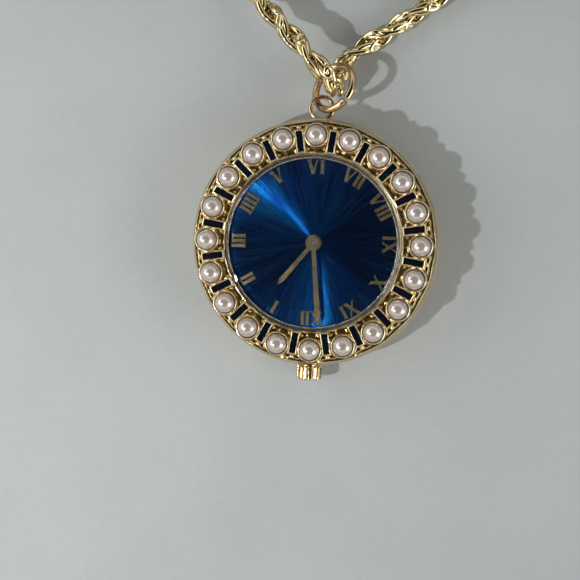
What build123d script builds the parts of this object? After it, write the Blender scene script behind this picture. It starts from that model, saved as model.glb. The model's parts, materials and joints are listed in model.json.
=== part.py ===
"""A ladies' pendant watch lying on its back, dial up, with its rope chain.

The origin is the centre of the flat resting face of the case back. +Z points out of the dial, +Y points
to the pendant loop and the chain, and -Y points to the winding crown. All lengths are in millimetres.
The dial is fitted upside down, so that the wearer reads it: XII is at the crown and VI at the loop.
"""

from build123d import *
import math
import os

os.makedirs("parts", exist_ok=True)

# Clearances and overruns
running_gap = 0.03  # a pivot or shaft in its hole, on the radius
seat_gap = 0.02  # between pieces that are pressed or laid together
free_gap = 0.10  # between moving pieces and what they pass
overrun = 0.5  # how far a cutting tool runs past what it cuts
weld_sink = 0.06  # how deep one feature of a piece sinks into the next

# Case and bezel, in plan
case_radius = 14.6
bezel_share = 0.942
opening_share = 0.7055
movement_share = 0.6644
back_share = 0.911
back_flat_share = 0.753
bezel_radius = case_radius * bezel_share
opening_radius = case_radius * opening_share  # the crystal's seat in the bezel
movement_radius = case_radius * movement_share
back_radius = case_radius * back_share
back_flat_radius = case_radius * back_flat_share
holder_wall = 1.55

# Heights, as a stack from the resting face up to the dial
back_thickness = 0.45
back_rise = 0.75
back_lip_height = 0.4
back_lip_wall = 0.4
under_gap = 0.33
ratchet_thickness = 0.27
bridge_thickness = 0.5
train_space = 1.7
plate_thickness = 1.3
motion_space = 0.6
dial_thickness = 0.3
flange_thickness = 0.3
bezel_plate = 0.6

ratchet_z = back_thickness + under_gap
bridge_z = ratchet_z + ratchet_thickness
train_z = bridge_z + bridge_thickness
plate_z = train_z + train_space
motion_z = plate_z + plate_thickness
dial_z = motion_z + motion_space
dial_top = dial_z + dial_thickness
flange_top = dial_top + flange_thickness
deck_z = flange_top + bezel_plate

# Bezel ornament
pearl_count = 20
bezel_turn = 1.3  # degrees, as the casting sits on the case
pearl_circle_share = 0.858
pearl_share = 0.0795
pearl_circle = case_radius * pearl_circle_share
pearl_radius = case_radius * pearl_share
pearl_lift = 0.42  # the pearl's centre above the bezel's deck
pearl_seat_share = 0.9  # how deep a pearl's seat goes into the bezel's plate
pearl_seat_z = deck_z - bezel_plate * pearl_seat_share
cup_wall = 0.22
cup_height = 0.5
channel_inset = 0.5
channel_width = 1.05
channel_wall = 0.18
channel_height = 0.6
channel_outer_radius = bezel_radius - channel_inset
enamel_drop = 0.12
bead_radius = 0.26
bead_inset = 0.3
grain_radius = 0.17
grain_inset = 0.72
grain_spread = 5.6  # degrees either side of each pearl
rim_wall = 0.3
rim_height = 0.42
channel_length = channel_outer_radius - opening_radius - rim_wall * 2 / 3
deck_step = 0.28  # the shelf of the case body outside the bezel
shoulder_z_share = 0.62
gallery_tooth = 0.55
gallery_height = 0.42

# Crystal: a shallow dome that turns down steeply at its edge
crystal_wall = 0.55
crystal_dome_radius = 45.0
crystal_edge_round = 1.4
crystal_skirt = 0.7
flange_lip = 0.16  # the ledge under the crystal's edge

# Dial, hands and numerals
dial_overlap = 0.85  # how far the dial runs under the flange
dial_hole_radius = 0.85
flute_count = 104
flute_depth = 0.12
flute_inner_share = 0.955
dial_turn = 1.5  # degrees, as the dial sits in the case
numeral_circle_share = 0.859
numeral_share = 0.158
numeral_radius = opening_radius * numeral_circle_share
numeral_height = opening_radius * numeral_share
numeral_stroke = 0.38
numeral_hairline = 0.2
numeral_pitch = 0.58
numeral_wide_share = 1.7  # a V or X, as a share of the pitch
numeral_relief = 0.08
serif_length = 0.1
serif_overhang = 0.07
dial_foot_radius = 0.3
dial_foot_length = 0.9
dial_foot_inset = 1.0
dial_foot_circle = movement_radius - dial_foot_inset
dial_foot_angles = (25.0, 205.0)
hand_thickness = 0.1
hour_hand_share = 0.63
hour_hand_length = opening_radius * hour_hand_share
hour_hand_width = 0.56
hour_hub_radius = 0.95
minute_hand_share = 0.917
minute_hand_length = opening_radius * minute_hand_share
minute_hand_width = 0.64
minute_hub_radius = 0.69
hand_tip_length = 0.75
hand_neck_share = 0.75
hour_hand_angle = 232.2
minute_hand_angle = 276.4
hour_hand_lift = 0.2
hand_step = 0.28

# Movement. Its plan follows the gears' module, which follows the movement's radius.
holder_gap = 0.05
modules_per_radius = 97.0
gear_module = movement_radius / modules_per_radius
winding_module_share = 1.25
winding_module = gear_module * winding_module_share
wheel_thickness = 0.15
wheel_rim = 0.45
spoke_width = 0.34
hub_share = 1.5
arbor_radius = 0.17
pivot_radius = 0.1
pivot_length = 0.34
jewel_radius = 0.42
jewel_thickness = 0.3
barrel_teeth = 84
centre_pinion_teeth = 12
centre_wheel_teeth = 64
third_pinion_teeth = 8
third_wheel_teeth = 60
fourth_pinion_teeth = 8
fourth_wheel_teeth = 60
escape_pinion_teeth = 6
escape_teeth = 15
cannon_teeth = 12
minute_wheel_teeth = 36
minute_pinion_teeth = 10
hour_wheel_teeth = 40
setting_wheel_teeth = 20
hour_module = gear_module * (cannon_teeth + minute_wheel_teeth) / (minute_pinion_teeth + hour_wheel_teeth)
crown_wheel_teeth = 24
ratchet_teeth = 56
winding_pinion_teeth = 19
escape_share = 15.5
escape_radius = gear_module * escape_share
barrel_angle = -30.0
third_angle = 95.0
fourth_angle = 185.0
escape_angle = 240.0
pallet_angle = 262.0
pallet_share = 20.5
pallet_distance = gear_module * pallet_share
pallet_arm_share = 11.5
pallet_arm = gear_module * pallet_arm_share
pallet_spread = 62.0  # degrees from the line to the escape wheel
fork_share = 0.62
horn_share = 0.78
horn_spread = 9.0
balance_angle = 297.0
balance_distance_share = 24.5
balance_share = 29.5
balance_distance = gear_module * balance_distance_share
balance_radius = gear_module * balance_share
balance_rim = 0.3
balance_thickness = 0.3
hairspring_share = 20.0
hairspring_pitch_share = 2.4
hairspring_radius = gear_module * hairspring_share
hairspring_pitch = gear_module * hairspring_pitch_share
hairspring_half_turns = 12
hairspring_width = 0.07
hairspring_height = 0.14
mainspring_pitch_share = 4.0
mainspring_pitch = gear_module * mainspring_pitch_share
mainspring_half_turns = 13
mainspring_width = 0.13
drum_wall = 0.3
drum_floor = 0.16
barrel_height = 1.15
bridge_foot_wall = 1.2
barrel_foot_wall = 0.35
barrel_foot_radius = 0.8
screw_radius = 0.24
screw_head_radius = 0.46
screw_head_height = 0.2
screw_slot = 0.12
screw_slot_turn = 390.0  # degrees per movement radius of x, so that the slots differ
screw_depth = 0.7

# Winding and setting work
stem_z_drop = 1.2  # the stem's axis above the bridges' outer face
stem_radius = 0.45
square_radius = 0.34
groove_radius = 0.3
groove_width = 0.3
tube_radius = 0.9
tube_wall = 0.3
tube_proud = 0.2
crown_radius = 1.5
crown_length = 1.65
crown_gap = 0.2
crown_flutes = 16
flute_radius = 0.2
crown_pull = 0.6
winding_pinion_length = 0.55
sliding_pinion_radius = 0.85
sliding_pinion_length = 0.95
sliding_waist_radius = 0.64
lever_thickness = 0.1
lever_pin_radius = 0.12
lever_arm_share = 19.0
lever_arm = gear_module * lever_arm_share
lever_width = 0.7
yoke_width = 0.56
yoke_arm_share = 30.0
yoke_arm = gear_module * yoke_arm_share

# Pendant loop, jump ring and chain
loop_z = 4.3
loop_radius = 1.32
loop_wire = 0.26
loop_neck_radius = 0.42
ring_radius = 2.78
ring_wire = 0.46
ring_lean = 27.5  # degrees from +Y, towards +X
ring_tilt = 42.0  # degrees that the ring's right side stands up
chain_diameter = 2.5
coil_gap = 0.45
layer_gap = 0.1
left_coil_radius = 18.8
right_coil_radius = 18.0
left_half_turns = 4
right_half_turns = 4
left_last_radius = 7.5
right_last_radius = 10.0
cap_radius = 1.2
cap_length = 2.2
cap_eye_radius = 0.62
cap_eye_wire = 0.2
cap_eye_drop = 0.35
clasp_radius = 2.35
clasp_tube = 0.7
clasp_z = 0.78
clasp_bolt_radius = 0.36
clasp_opening = 45.0  # degrees of the ring that the bolt closes
clasp_opening_start = 200.0
clasp_grip = 9.0  # degrees that the closed bolt reaches into the far side
clasp_eye_radius = 0.75
clasp_eye_wire = 0.25
knob_radius = 0.18
knob_length = 0.55
tag_length = 4.2
tag_width = 2.3
tag_thickness = 0.5
tag_hole = 0.7
tag_wall = 0.25

bore_radius = movement_radius + holder_gap + holder_wall
stem_z = bridge_z + stem_z_drop
cup_radius = pearl_radius + seat_gap * 2 + cup_wall


def polar(radius, degrees):
    """A point in plan from its distance and direction."""
    return radius * math.cos(math.radians(degrees)), radius * math.sin(math.radians(degrees))


def disc(radius, low, high, place=(0, 0)):
    """An upright cylinder between two heights."""
    solid = Cylinder(radius, high - low, align=(Align.CENTER, Align.CENTER, Align.MIN))
    return Pos(place[0], place[1], low) * solid


def ring(outer, inner, low, high, place=(0, 0)):
    """An upright tube between two heights."""
    return disc(outer, low, high, place) - disc(inner, low - overrun, high + overrun, place)


def bar(length, width, low, high, place=(0, 0), turn=0.0):
    """An upright box centred on a place and turned about Z."""
    solid = Box(length, width, high - low, align=(Align.CENTER, Align.CENTER, Align.MIN))
    return Pos(place[0], place[1], low) * Rot(0, 0, turn) * solid


def link(start, end, width, low, high):
    """A flat strap with round ends between two places."""
    run = math.dist(start, end)
    turn = math.degrees(math.atan2(end[1] - start[1], end[0] - start[0]))
    middle = ((start[0] + end[0]) / 2, (start[1] + end[1]) / 2)
    strap = bar(run, width, low, high, middle, turn)
    return strap + disc(width / 2, low, high, start) + disc(width / 2, low, high, end)


def along_y(radius, near, far, x=0.0, z=0.0):
    """A cylinder lying along Y from near to far."""
    solid = Cylinder(radius, far - near, align=(Align.CENTER, Align.CENTER, Align.MIN))
    return Pos(x, near, z) * Rot(-90, 0, 0) * solid


def turned(points):
    """A solid of revolution about Z from an outline of (radius, height) points."""
    outline = Polyline(*[(r, 0, z) for r, z in points], close=True)
    return revolve(make_face(outline), Axis.Z)


def tube(path, radius):
    """A round tube along a path."""
    return sweep((path ^ 0) * Circle(radius), path=path)


def one(shape):
    """The largest solid of a shape, which drops slivers left by a cut."""
    return max(shape.solids(), key=lambda s: s.volume)


# Gears
tooth_share = 0.44  # tooth width at the pitch circle as a share of the pitch
tip_share = 0.2
root_share = 0.62
addendum_share = 0.95
dedendum_share = 1.25


def toothed(teeth, module, low, high, place=(0, 0), phase=0.0):
    """A toothed disc. Phase is the direction of one tooth, in degrees."""
    pitch = 360.0 / teeth
    tip = module * (teeth / 2 + addendum_share)
    root = module * (teeth / 2 - dedendum_share)
    corners = []
    for k in range(teeth):
        at = phase + k * pitch
        corners.append(polar(root, at - root_share * pitch / 2))
        corners.append(polar(tip, at - tip_share * pitch / 2))
        corners.append(polar(tip, at + tip_share * pitch / 2))
        corners.append(polar(root, at + root_share * pitch / 2))
    face = make_face(Polyline(*corners, close=True))
    return Pos(place[0], place[1], low) * extrude(face, amount=high - low)


def gear_radius(teeth, module=gear_module):
    """The pitch radius of a gear."""
    return teeth * module / 2


def mesh_phase(phase, teeth, other_teeth, direction):
    """The phase of a gear that meshes with another one, which lies back along the direction."""
    pitch = 360.0 / teeth
    offset = (direction - phase) % pitch
    return direction + 180 + offset * teeth / other_teeth + 180.0 / other_teeth


def wheel(teeth, low, place, phase, spokes=4):
    """A train wheel: toothed rim, spokes and hub."""
    high = low + wheel_thickness
    inner = gear_radius(teeth) - gear_module * dedendum_share - wheel_rim
    solid = toothed(teeth, gear_module, low, high, place, phase)
    solid -= disc(inner, low - overrun, high + overrun, place)
    reach = inner + wheel_rim / 2
    for k in range(spokes // 2):
        solid += bar(2 * reach, spoke_width, low, high, place, phase + 180.0 * k / (spokes // 2))
    return solid + disc(spoke_width * hub_share, low, high, place)


def arbor(place, low, high, radius=arbor_radius):
    """A shaft with a thinner pivot at each end, running in the bridge and the plate."""
    shaft = disc(radius, low, high, place)
    bottom = disc(pivot_radius, low - pivot_length, low + weld_sink, place)
    top = disc(pivot_radius, high - weld_sink, high + pivot_length, place)
    return shaft + bottom + top


def spiral_ribbon(outer, pitch, half_turns, width, low, high, place=(0, 0), start=0.0):
    """A flat spiral spring of half rings, each pitch / 2 smaller than the one before it."""
    total = None
    radius = outer
    shift = 0.0
    for k in range(half_turns):
        side = 1 if k % 2 == 0 else -1
        half = ring(radius + width / 2, radius - width / 2, low, high, (shift, 0))
        keep = bar(4 * outer, 2 * outer, low - overrun, high + overrun, (0, side * outer))
        half = half & keep
        total = half if total is None else total + half
        shift -= side * pitch / 2
        radius -= pitch / 2
    return Pos(place[0], place[1], 0) * Rot(0, 0, start) * total


# Places of the train, worked out from the tooth counts
centre = (0.0, 0.0)
barrel_distance = gear_radius(barrel_teeth) + gear_radius(centre_pinion_teeth)
barrel_place = polar(barrel_distance, barrel_angle)


def stepped(start, distance, degrees):
    """A place in plan, a distance from another one in a direction."""
    dx, dy = polar(distance, degrees)
    return start[0] + dx, start[1] + dy


third_place = stepped(centre, gear_radius(centre_wheel_teeth + third_pinion_teeth), third_angle)
fourth_place = stepped(third_place, gear_radius(third_wheel_teeth + fourth_pinion_teeth), fourth_angle)
escape_place = stepped(fourth_place, gear_radius(fourth_wheel_teeth + escape_pinion_teeth), escape_angle)
pallet_place = stepped(escape_place, pallet_distance, pallet_angle)
balance_place = stepped(pallet_place, balance_distance, balance_angle)
winding_distance = gear_radius(crown_wheel_teeth + ratchet_teeth, winding_module)
crown_wheel_drop = math.sqrt(winding_distance**2 - barrel_place[0] ** 2)
crown_wheel_place = (0.0, barrel_place[1] - crown_wheel_drop)
minute_wheel_place = (0.0, -gear_radius(cannon_teeth + minute_wheel_teeth))
setting_drop = gear_radius(minute_wheel_teeth + setting_wheel_teeth)
setting_place = (0.0, minute_wheel_place[1] - setting_drop)
winding_y = crown_wheel_place[1] - gear_radius(crown_wheel_teeth, winding_module)

# Levels in the train space, counted from the plate down to the bridges
third_wheel_drop = 0.33
fourth_wheel_rise = 0.18
escape_wheel_drop = 0.55
balance_rise = 0.16
barrel_rise = 0.05
centre_wheel_z = plate_z - free_gap - wheel_thickness - free_gap
third_wheel_z = centre_wheel_z - wheel_thickness - third_wheel_drop
fourth_wheel_z = train_z + fourth_wheel_rise
escape_wheel_z = plate_z - wheel_thickness - escape_wheel_drop
balance_z = train_z + balance_rise
pallet_bridge_z = balance_z + balance_thickness + free_gap
pallet_z = escape_wheel_z
barrel_z = train_z + barrel_rise

# Phases, cascaded from the barrel
barrel_phase = 0.0
centre_phase = mesh_phase(barrel_phase, barrel_teeth, centre_pinion_teeth, barrel_angle + 180)
third_phase = mesh_phase(centre_phase, centre_wheel_teeth, third_pinion_teeth, third_angle)
fourth_phase = mesh_phase(third_phase, third_wheel_teeth, fourth_pinion_teeth, fourth_angle)
escape_phase = mesh_phase(fourth_phase, fourth_wheel_teeth, escape_pinion_teeth, escape_angle)
minute_phase = mesh_phase(0.0, cannon_teeth, minute_wheel_teeth, 270.0)
hour_phase = mesh_phase(minute_phase, minute_pinion_teeth, hour_wheel_teeth, 90.0)
setting_phase = mesh_phase(minute_phase, minute_wheel_teeth, setting_wheel_teeth, 270.0)
crown_wheel_angle = math.degrees(math.atan2(
    barrel_place[1] - crown_wheel_place[1], barrel_place[0] - crown_wheel_place[0]))
ratchet_phase = mesh_phase(270.0, crown_wheel_teeth, ratchet_teeth, crown_wheel_angle)

pivots = (centre, third_place, fourth_place, escape_place)
parts = {}


def case_body():
    """The middle of the case: a stout ring with seats for the back, movement, dial and bezel."""
    top = dial_top + flange_thickness
    shoulder = back_rise + (top - back_rise) * shoulder_z_share
    lip_top = back_rise + back_lip_height
    snap = back_radius - cup_wall
    outline = [
        (snap, back_rise), (case_radius - deck_step * 2, back_rise + deck_step),
        (case_radius - deck_step / 2, back_rise + deck_step * 3), (case_radius, shoulder - deck_step * 2),
        (case_radius, shoulder), (case_radius - deck_step / 2, shoulder + deck_step),
        (bezel_radius, top), (opening_radius - flange_lip, top),
        (opening_radius - flange_lip, dial_top), (bore_radius, dial_top),
        (bore_radius, lip_top), (snap - back_lip_wall, lip_top), (snap - back_lip_wall, back_rise),
    ]
    body = turned(outline)
    hole = along_y(tube_radius + seat_gap, -case_radius - overrun, -bore_radius + overrun, 0, stem_z)
    return body - hole


def case_back():
    """The snap-on back: a dished plate with a lip that grips the case body."""
    lip_outer = back_radius - cup_wall - back_lip_wall - seat_gap
    lip_top = back_rise + back_lip_height - seat_gap
    edge = back_radius - cup_wall
    return turned([
        (0, 0), (back_flat_radius, 0), (back_flat_radius + deck_step * 2, deck_step / 2),
        (edge, back_rise - back_thickness), (edge, back_rise - seat_gap),
        (lip_outer, back_rise - seat_gap), (lip_outer, lip_top), (lip_outer - back_lip_wall, lip_top),
        (lip_outer - back_lip_wall, back_rise), (back_flat_radius, back_thickness), (0, back_thickness),
    ])


def bezel():
    """The cast front: pearl cups, enamel channels, beads and grains on a ring."""
    inner = opening_radius + seat_gap
    low = flange_top + seat_gap
    body = ring(bezel_radius, inner, low, deck_z)
    body += ring(inner + rim_wall, inner, deck_z - weld_sink, deck_z + rim_height)
    step = 360.0 / pearl_count
    channel_mid = channel_outer_radius - channel_length / 2
    details = []
    cuts = []
    for k in range(pearl_count):
        at = 90 + bezel_turn + k * step
        between = at + step / 2
        details.append(disc(cup_radius, deck_z - weld_sink, deck_z + cup_height, polar(pearl_circle, at)))
        place = polar(channel_mid, between)
        details.append(bar(channel_length, channel_width, deck_z - weld_sink, deck_z + channel_height,
                           place, between))
        x, y = polar(bezel_radius - bead_inset, between)
        details.append(Pos(x, y, deck_z + bead_radius) * Sphere(bead_radius))
        for side in (-1, 1):
            x, y = polar(opening_radius + grain_inset, at + side * grain_spread)
            details.append(Pos(x, y, deck_z + grain_radius) * Sphere(grain_radius))
        details.append(bar(gallery_tooth, gallery_tooth, low, deck_z + gallery_height / 2,
                           polar(bezel_radius - gallery_tooth / 2, between), between))
        cuts.append(disc(cup_radius - cup_wall, pearl_seat_z, deck_z + cup_height + overrun,
                         polar(pearl_circle, at)))
        slot = bar(channel_length - 2 * channel_wall, channel_width - 2 * channel_wall,
                   deck_z + enamel_drop, deck_z + channel_height + overrun, place, between)
        cuts.append(slot)
    body = body + details
    body = body - cuts
    return one(body - disc(inner, low - overrun, deck_z + channel_height + overrun))


def pearls():
    """Round imitation pearls, flattened under their seats."""
    solids = []
    step = 360.0 / pearl_count
    floor = pearl_seat_z + seat_gap
    for k in range(pearl_count):
        x, y = polar(pearl_circle, 90 + bezel_turn + k * step)
        pearl = Pos(x, y, deck_z + pearl_lift) * Sphere(pearl_radius)
        solids.append(pearl - disc(2 * pearl_radius, floor - 2 * pearl_radius, floor, (x, y)))
    return Compound(children=solids)


def enamel_bars():
    """Glossy enamel fused into the channels between the pearls."""
    solids = []
    step = 360.0 / pearl_count
    channel_mid = channel_outer_radius - channel_length / 2
    inset = 2 * (channel_wall + seat_gap)
    for k in range(pearl_count):
        at = 90 + bezel_turn + (k + 0.5) * step
        solids.append(bar(channel_length - inset, channel_width - inset, deck_z + enamel_drop + seat_gap,
                          deck_z + channel_height - enamel_drop, polar(channel_mid, at), at))
    return Compound(children=solids)


def crystal():
    """The acrylic crystal, pressed into the bezel: one wall all over, from the dome down its edge."""
    low = flange_top + seat_gap
    turn_z = low + crystal_skirt
    turn_radius = opening_radius - crystal_edge_round
    reach = crystal_dome_radius - crystal_edge_round
    dome_z = turn_z - math.sqrt(reach**2 - turn_radius**2)
    lean = math.degrees(math.asin(turn_radius / reach))
    outer = [CenterArc((0, dome_z), crystal_dome_radius, 90 - lean, lean),
             CenterArc((turn_radius, turn_z), crystal_edge_round, 0, 90 - lean)]
    inner = [CenterArc((0, dome_z), crystal_dome_radius - crystal_wall, 90 - lean, lean),
             CenterArc((turn_radius, turn_z), crystal_edge_round - crystal_wall, 0, 90 - lean)]
    foot = Polyline((opening_radius, turn_z), (opening_radius, low), (opening_radius - crystal_wall, low),
                    (opening_radius - crystal_wall, turn_z))
    top = dome_z + crystal_dome_radius
    middle = Line((0, top), (0, top - crystal_wall))
    return revolve(Plane.XZ * make_face(outer + inner + [foot, middle]), Axis.Z)


def dial():
    """The dial plate with its fluted edge and two feet."""
    radius = opening_radius + dial_overlap - flange_lip
    plate = disc(radius, dial_z, dial_top - seat_gap)
    visible = opening_radius - flange_lip
    cuts = []
    groove_length = visible * (1 - flute_inner_share) + overrun
    for k in range(flute_count):
        at = dial_turn + 360.0 * k / flute_count
        x, y = polar(visible * flute_inner_share + groove_length / 2, at)
        groove = Pos(x, y, dial_top) * Rot(0, 0, at) * Rot(0, 90, 0) * Rot(0, 0, 45)
        side = flute_depth * math.sqrt(2)
        cuts.append(groove * Box(side, side, groove_length))
    plate = plate - cuts
    plate -= disc(dial_hole_radius, dial_z - overrun, dial_top + overrun)
    for at in dial_foot_angles:
        plate += disc(dial_foot_radius, dial_z - dial_foot_length, dial_z + weld_sink,
                      polar(dial_foot_circle, at))
    return one(plate)


NUMERALS = ("VI", "VII", "VIII", "IX", "X", "XI", "XII", "I", "II", "III", "IIII", "V")


def numeral_strokes(word):
    """The strokes of a Roman numeral as (outer x, inner x, width), with thin second strokes in V and X."""
    strokes = []
    x = 0.0
    wide = numeral_pitch * numeral_wide_share
    for letter in word:
        if letter == "I":
            strokes.append((x, x, numeral_stroke))
            x += numeral_pitch
        elif letter == "V":
            strokes.append((x, x + wide / 2, numeral_stroke))
            strokes.append((x + wide, x + wide / 2, numeral_hairline))
            x += wide + numeral_pitch
        else:
            strokes.append((x, x + wide, numeral_stroke))
            strokes.append((x + wide, x, numeral_hairline))
            x += wide + numeral_pitch
    ends = [v for s in strokes for v in s[:2]]
    middle = (min(ends) + max(ends)) / 2
    return [(a - middle, b - middle, width) for a, b, width in strokes]


def numerals():
    """Twelve raised gilt numerals, feet towards the centre, VI at the loop."""
    solids = []
    low = dial_top - seat_gap
    high = low + numeral_relief
    half = numeral_height / 2
    for k, word in enumerate(NUMERALS):
        at = 90 + dial_turn - 360.0 * k / len(NUMERALS)
        letter = None
        for outer_x, inner_x, width in numeral_strokes(word):
            lean = math.degrees(math.atan2(outer_x - inner_x, numeral_height))
            run = math.hypot(outer_x - inner_x, numeral_height)
            stroke = Pos(0, -(outer_x + inner_x) / 2, 0) * bar(run, width, low, high, turn=-lean)
            letter = stroke if letter is None else letter + stroke
            for end, x in ((1, outer_x), (-1, inner_x)):
                serif = bar(serif_length, width + 2 * serif_overhang, low, high)
                letter += Pos(end * (half - serif_length / 2), -x, 0) * serif
        x, y = polar(numeral_radius, at)
        solids.append(Pos(x, y, 0) * Rot(0, 0, at) * letter)
    return Compound(children=[s for shape in solids for s in shape.solids()])


def hand(length, width, hub, bore, low, angle):
    """A flat baton hand with a pointed tip."""
    high = low + hand_thickness
    neck = width * hand_neck_share
    outline = Polyline((0, -neck / 2), (length - hand_tip_length, -width / 2), (length, 0),
                       (length - hand_tip_length, width / 2), (0, neck / 2), close=True)
    blade = Pos(0, 0, low) * extrude(make_face(outline), amount=hand_thickness)
    blade = Rot(0, 0, angle) * blade + disc(hub, low, high)
    return blade - disc(bore, low - overrun, high + overrun)


cannon_outer = 0.42
hour_tube_outer = 0.68
cannon_bore = 0.24
cannon_rise = 0.15
hour_wheel_rise = 0.33
hour_wheel_z = motion_z + hour_wheel_rise
cannon_z = motion_z + cannon_rise
hour_hand_z = dial_top + hour_hand_lift
minute_hand_z = hour_hand_z + hand_thickness + hand_step


def cannon_pinion():
    """The pinion that carries the minute hand, a friction fit on the centre arbor."""
    low = cannon_z
    body = toothed(cannon_teeth, gear_module, low, low + wheel_thickness, centre, 0.0)
    body += disc(cannon_outer, low, minute_hand_z + hand_thickness)
    return body - disc(cannon_bore, low - overrun, minute_hand_z + hand_thickness + overrun)


def hour_wheel():
    """The wheel that carries the hour hand on its tube."""
    high = hour_wheel_z + wheel_thickness
    body = toothed(hour_wheel_teeth, hour_module, hour_wheel_z, high, centre, hour_phase)
    body += disc(hour_tube_outer, hour_wheel_z, hour_hand_z + hand_thickness)
    return body - disc(cannon_outer + running_gap, hour_wheel_z - overrun, minute_hand_z + overrun)


def minute_wheel():
    """The wheel and pinion between the cannon pinion and the hour wheel."""
    low = cannon_z
    body = toothed(minute_wheel_teeth, gear_module, low, low + wheel_thickness, minute_wheel_place,
                   minute_phase)
    high = hour_wheel_z + wheel_thickness
    body += toothed(minute_pinion_teeth, hour_module, low, high, minute_wheel_place, minute_phase)
    return body + disc(arbor_radius, motion_z - pivot_length, low + weld_sink, minute_wheel_place)


def setting_wheel():
    """The wheel that passes the stem's turning to the minute wheel when the hands are set."""
    low = cannon_z
    body = toothed(setting_wheel_teeth, gear_module, low, low + wheel_thickness, setting_place,
                   setting_phase)
    return body + disc(arbor_radius, motion_z - pivot_length, low + weld_sink, setting_place)


def main_plate():
    """The plate that everything in the movement is fixed to."""
    body = disc(movement_radius, plate_z, motion_z)
    cuts = [disc(arbor_radius + running_gap, motion_z - pivot_length - free_gap, motion_z + overrun, p)
            for p in (minute_wheel_place, setting_place)]
    for p in pivots + (balance_place, pallet_place):
        cuts.append(disc(jewel_radius, plate_z - overrun, plate_z + jewel_thickness, p))
        cuts.append(disc(arbor_radius + running_gap, plate_z, plate_z + plate_thickness / 2, p))
    cuts.append(disc(cannon_bore + running_gap, plate_z - overrun, motion_z + overrun, centre))
    cuts.append(disc(barrel_arbor_radius + running_gap, plate_z - overrun, plate_z + pivot_length + seat_gap,
                     barrel_place))
    for p in screw_places:
        cuts.append(disc(screw_radius + running_gap, plate_z - overrun, plate_z + screw_depth + seat_gap, p))
    for at in dial_foot_angles:
        cuts.append(disc(dial_foot_radius + running_gap, dial_z - dial_foot_length - seat_gap,
                         motion_z + overrun, polar(dial_foot_circle, at)))
    pocket = gear_radius(winding_pinion_teeth, winding_module) + winding_module + free_gap
    cuts.append(along_y(pocket, winding_y - winding_pinion_length, winding_y + winding_pinion_length
                        + sliding_pinion_length + crown_pull, 0, stem_z))
    slot_y = winding_y - lever_reach
    cuts.append(bar(4 * lever_pin_radius, crown_pull + 4 * lever_pin_radius, plate_z - overrun,
                    motion_z + overrun, (0, slot_y - crown_pull / 2)))
    cuts.append(disc(lever_post_radius + running_gap, motion_z - pivot_length - seat_gap, motion_z + overrun,
                     lever_place))
    cuts.append(disc(lever_post_radius + running_gap, motion_z - pivot_length - seat_gap, motion_z + overrun,
                     yoke_place))
    return one(body - cuts)


barrel_arbor_radius = 0.55
barrel_neck_share = 0.7
barrel_square_share = 1.35  # of the neck's radius
barrel_neck = barrel_arbor_radius * barrel_neck_share
barrel_square = barrel_neck * barrel_square_share
lever_reach = 1.05
lever_post_radius = 0.3
lever_place = (lever_arm, winding_y - lever_reach)
yoke_place = (-yoke_arm, winding_y + lever_reach / 2)
foot_radius = 1.0
foot_inset = 0.95
pallet_foot_inset = 1.25
train_split_share = -5.5
side_split_share = -13.5
cock_foot_angle = 250.5
pallet_foot_angle = 188.5
barrel_foot_angle = 290.5
barrel_side_angle = -8.5
train_screw_angles = (18.0, 92.0, 165.0)
train_split = gear_module * train_split_share
side_split = gear_module * side_split_share
barrel_split = train_split - 2 * free_gap
cock_foot = polar(movement_radius - foot_inset, cock_foot_angle)
pallet_foot = polar(movement_radius - pallet_foot_inset, pallet_foot_angle)
barrel_foot = polar(movement_radius - foot_inset, barrel_foot_angle)
barrel_side_foot = polar(movement_radius - bridge_foot_wall / 2, barrel_side_angle)
train_screws = tuple(
    polar(movement_radius - bridge_foot_wall / 2 - seat_gap, angle) for angle in train_screw_angles)
screw_places = train_screws + (barrel_foot, barrel_side_foot, cock_foot, pallet_foot)
bridge_radius = movement_radius - seat_gap


def upper_half(limit, low, high):
    """Everything with y above a limit."""
    wide = 4 * movement_radius
    return bar(wide, wide, low - overrun, high + overrun, (0, limit + wide / 2))


def pivot_cuts(places, outer_low, outer_high):
    """Seats for jewels and holes for pivots in a bridge, for each place."""
    cuts = []
    for p in places:
        cuts.append(disc(jewel_radius, outer_high - jewel_thickness, outer_high + overrun, p))
        cuts.append(disc(pivot_radius + running_gap, outer_low - overrun, outer_high + overrun, p))
    return cuts


def train_bridge():
    """The bridge over the centre, third, fourth and escape wheels."""
    body = disc(bridge_radius, bridge_z, train_z) & upper_half(train_split, bridge_z, train_z)
    foot = ring(bridge_radius, movement_radius - bridge_foot_wall, bridge_z, plate_z)
    body += foot & upper_half(train_split, bridge_z, plate_z)
    cuts = pivot_cuts(pivots, bridge_z, train_z)
    cuts += [disc(screw_radius + running_gap, bridge_z - overrun, plate_z + overrun, p) for p in train_screws]
    return one(body - cuts)


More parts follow.
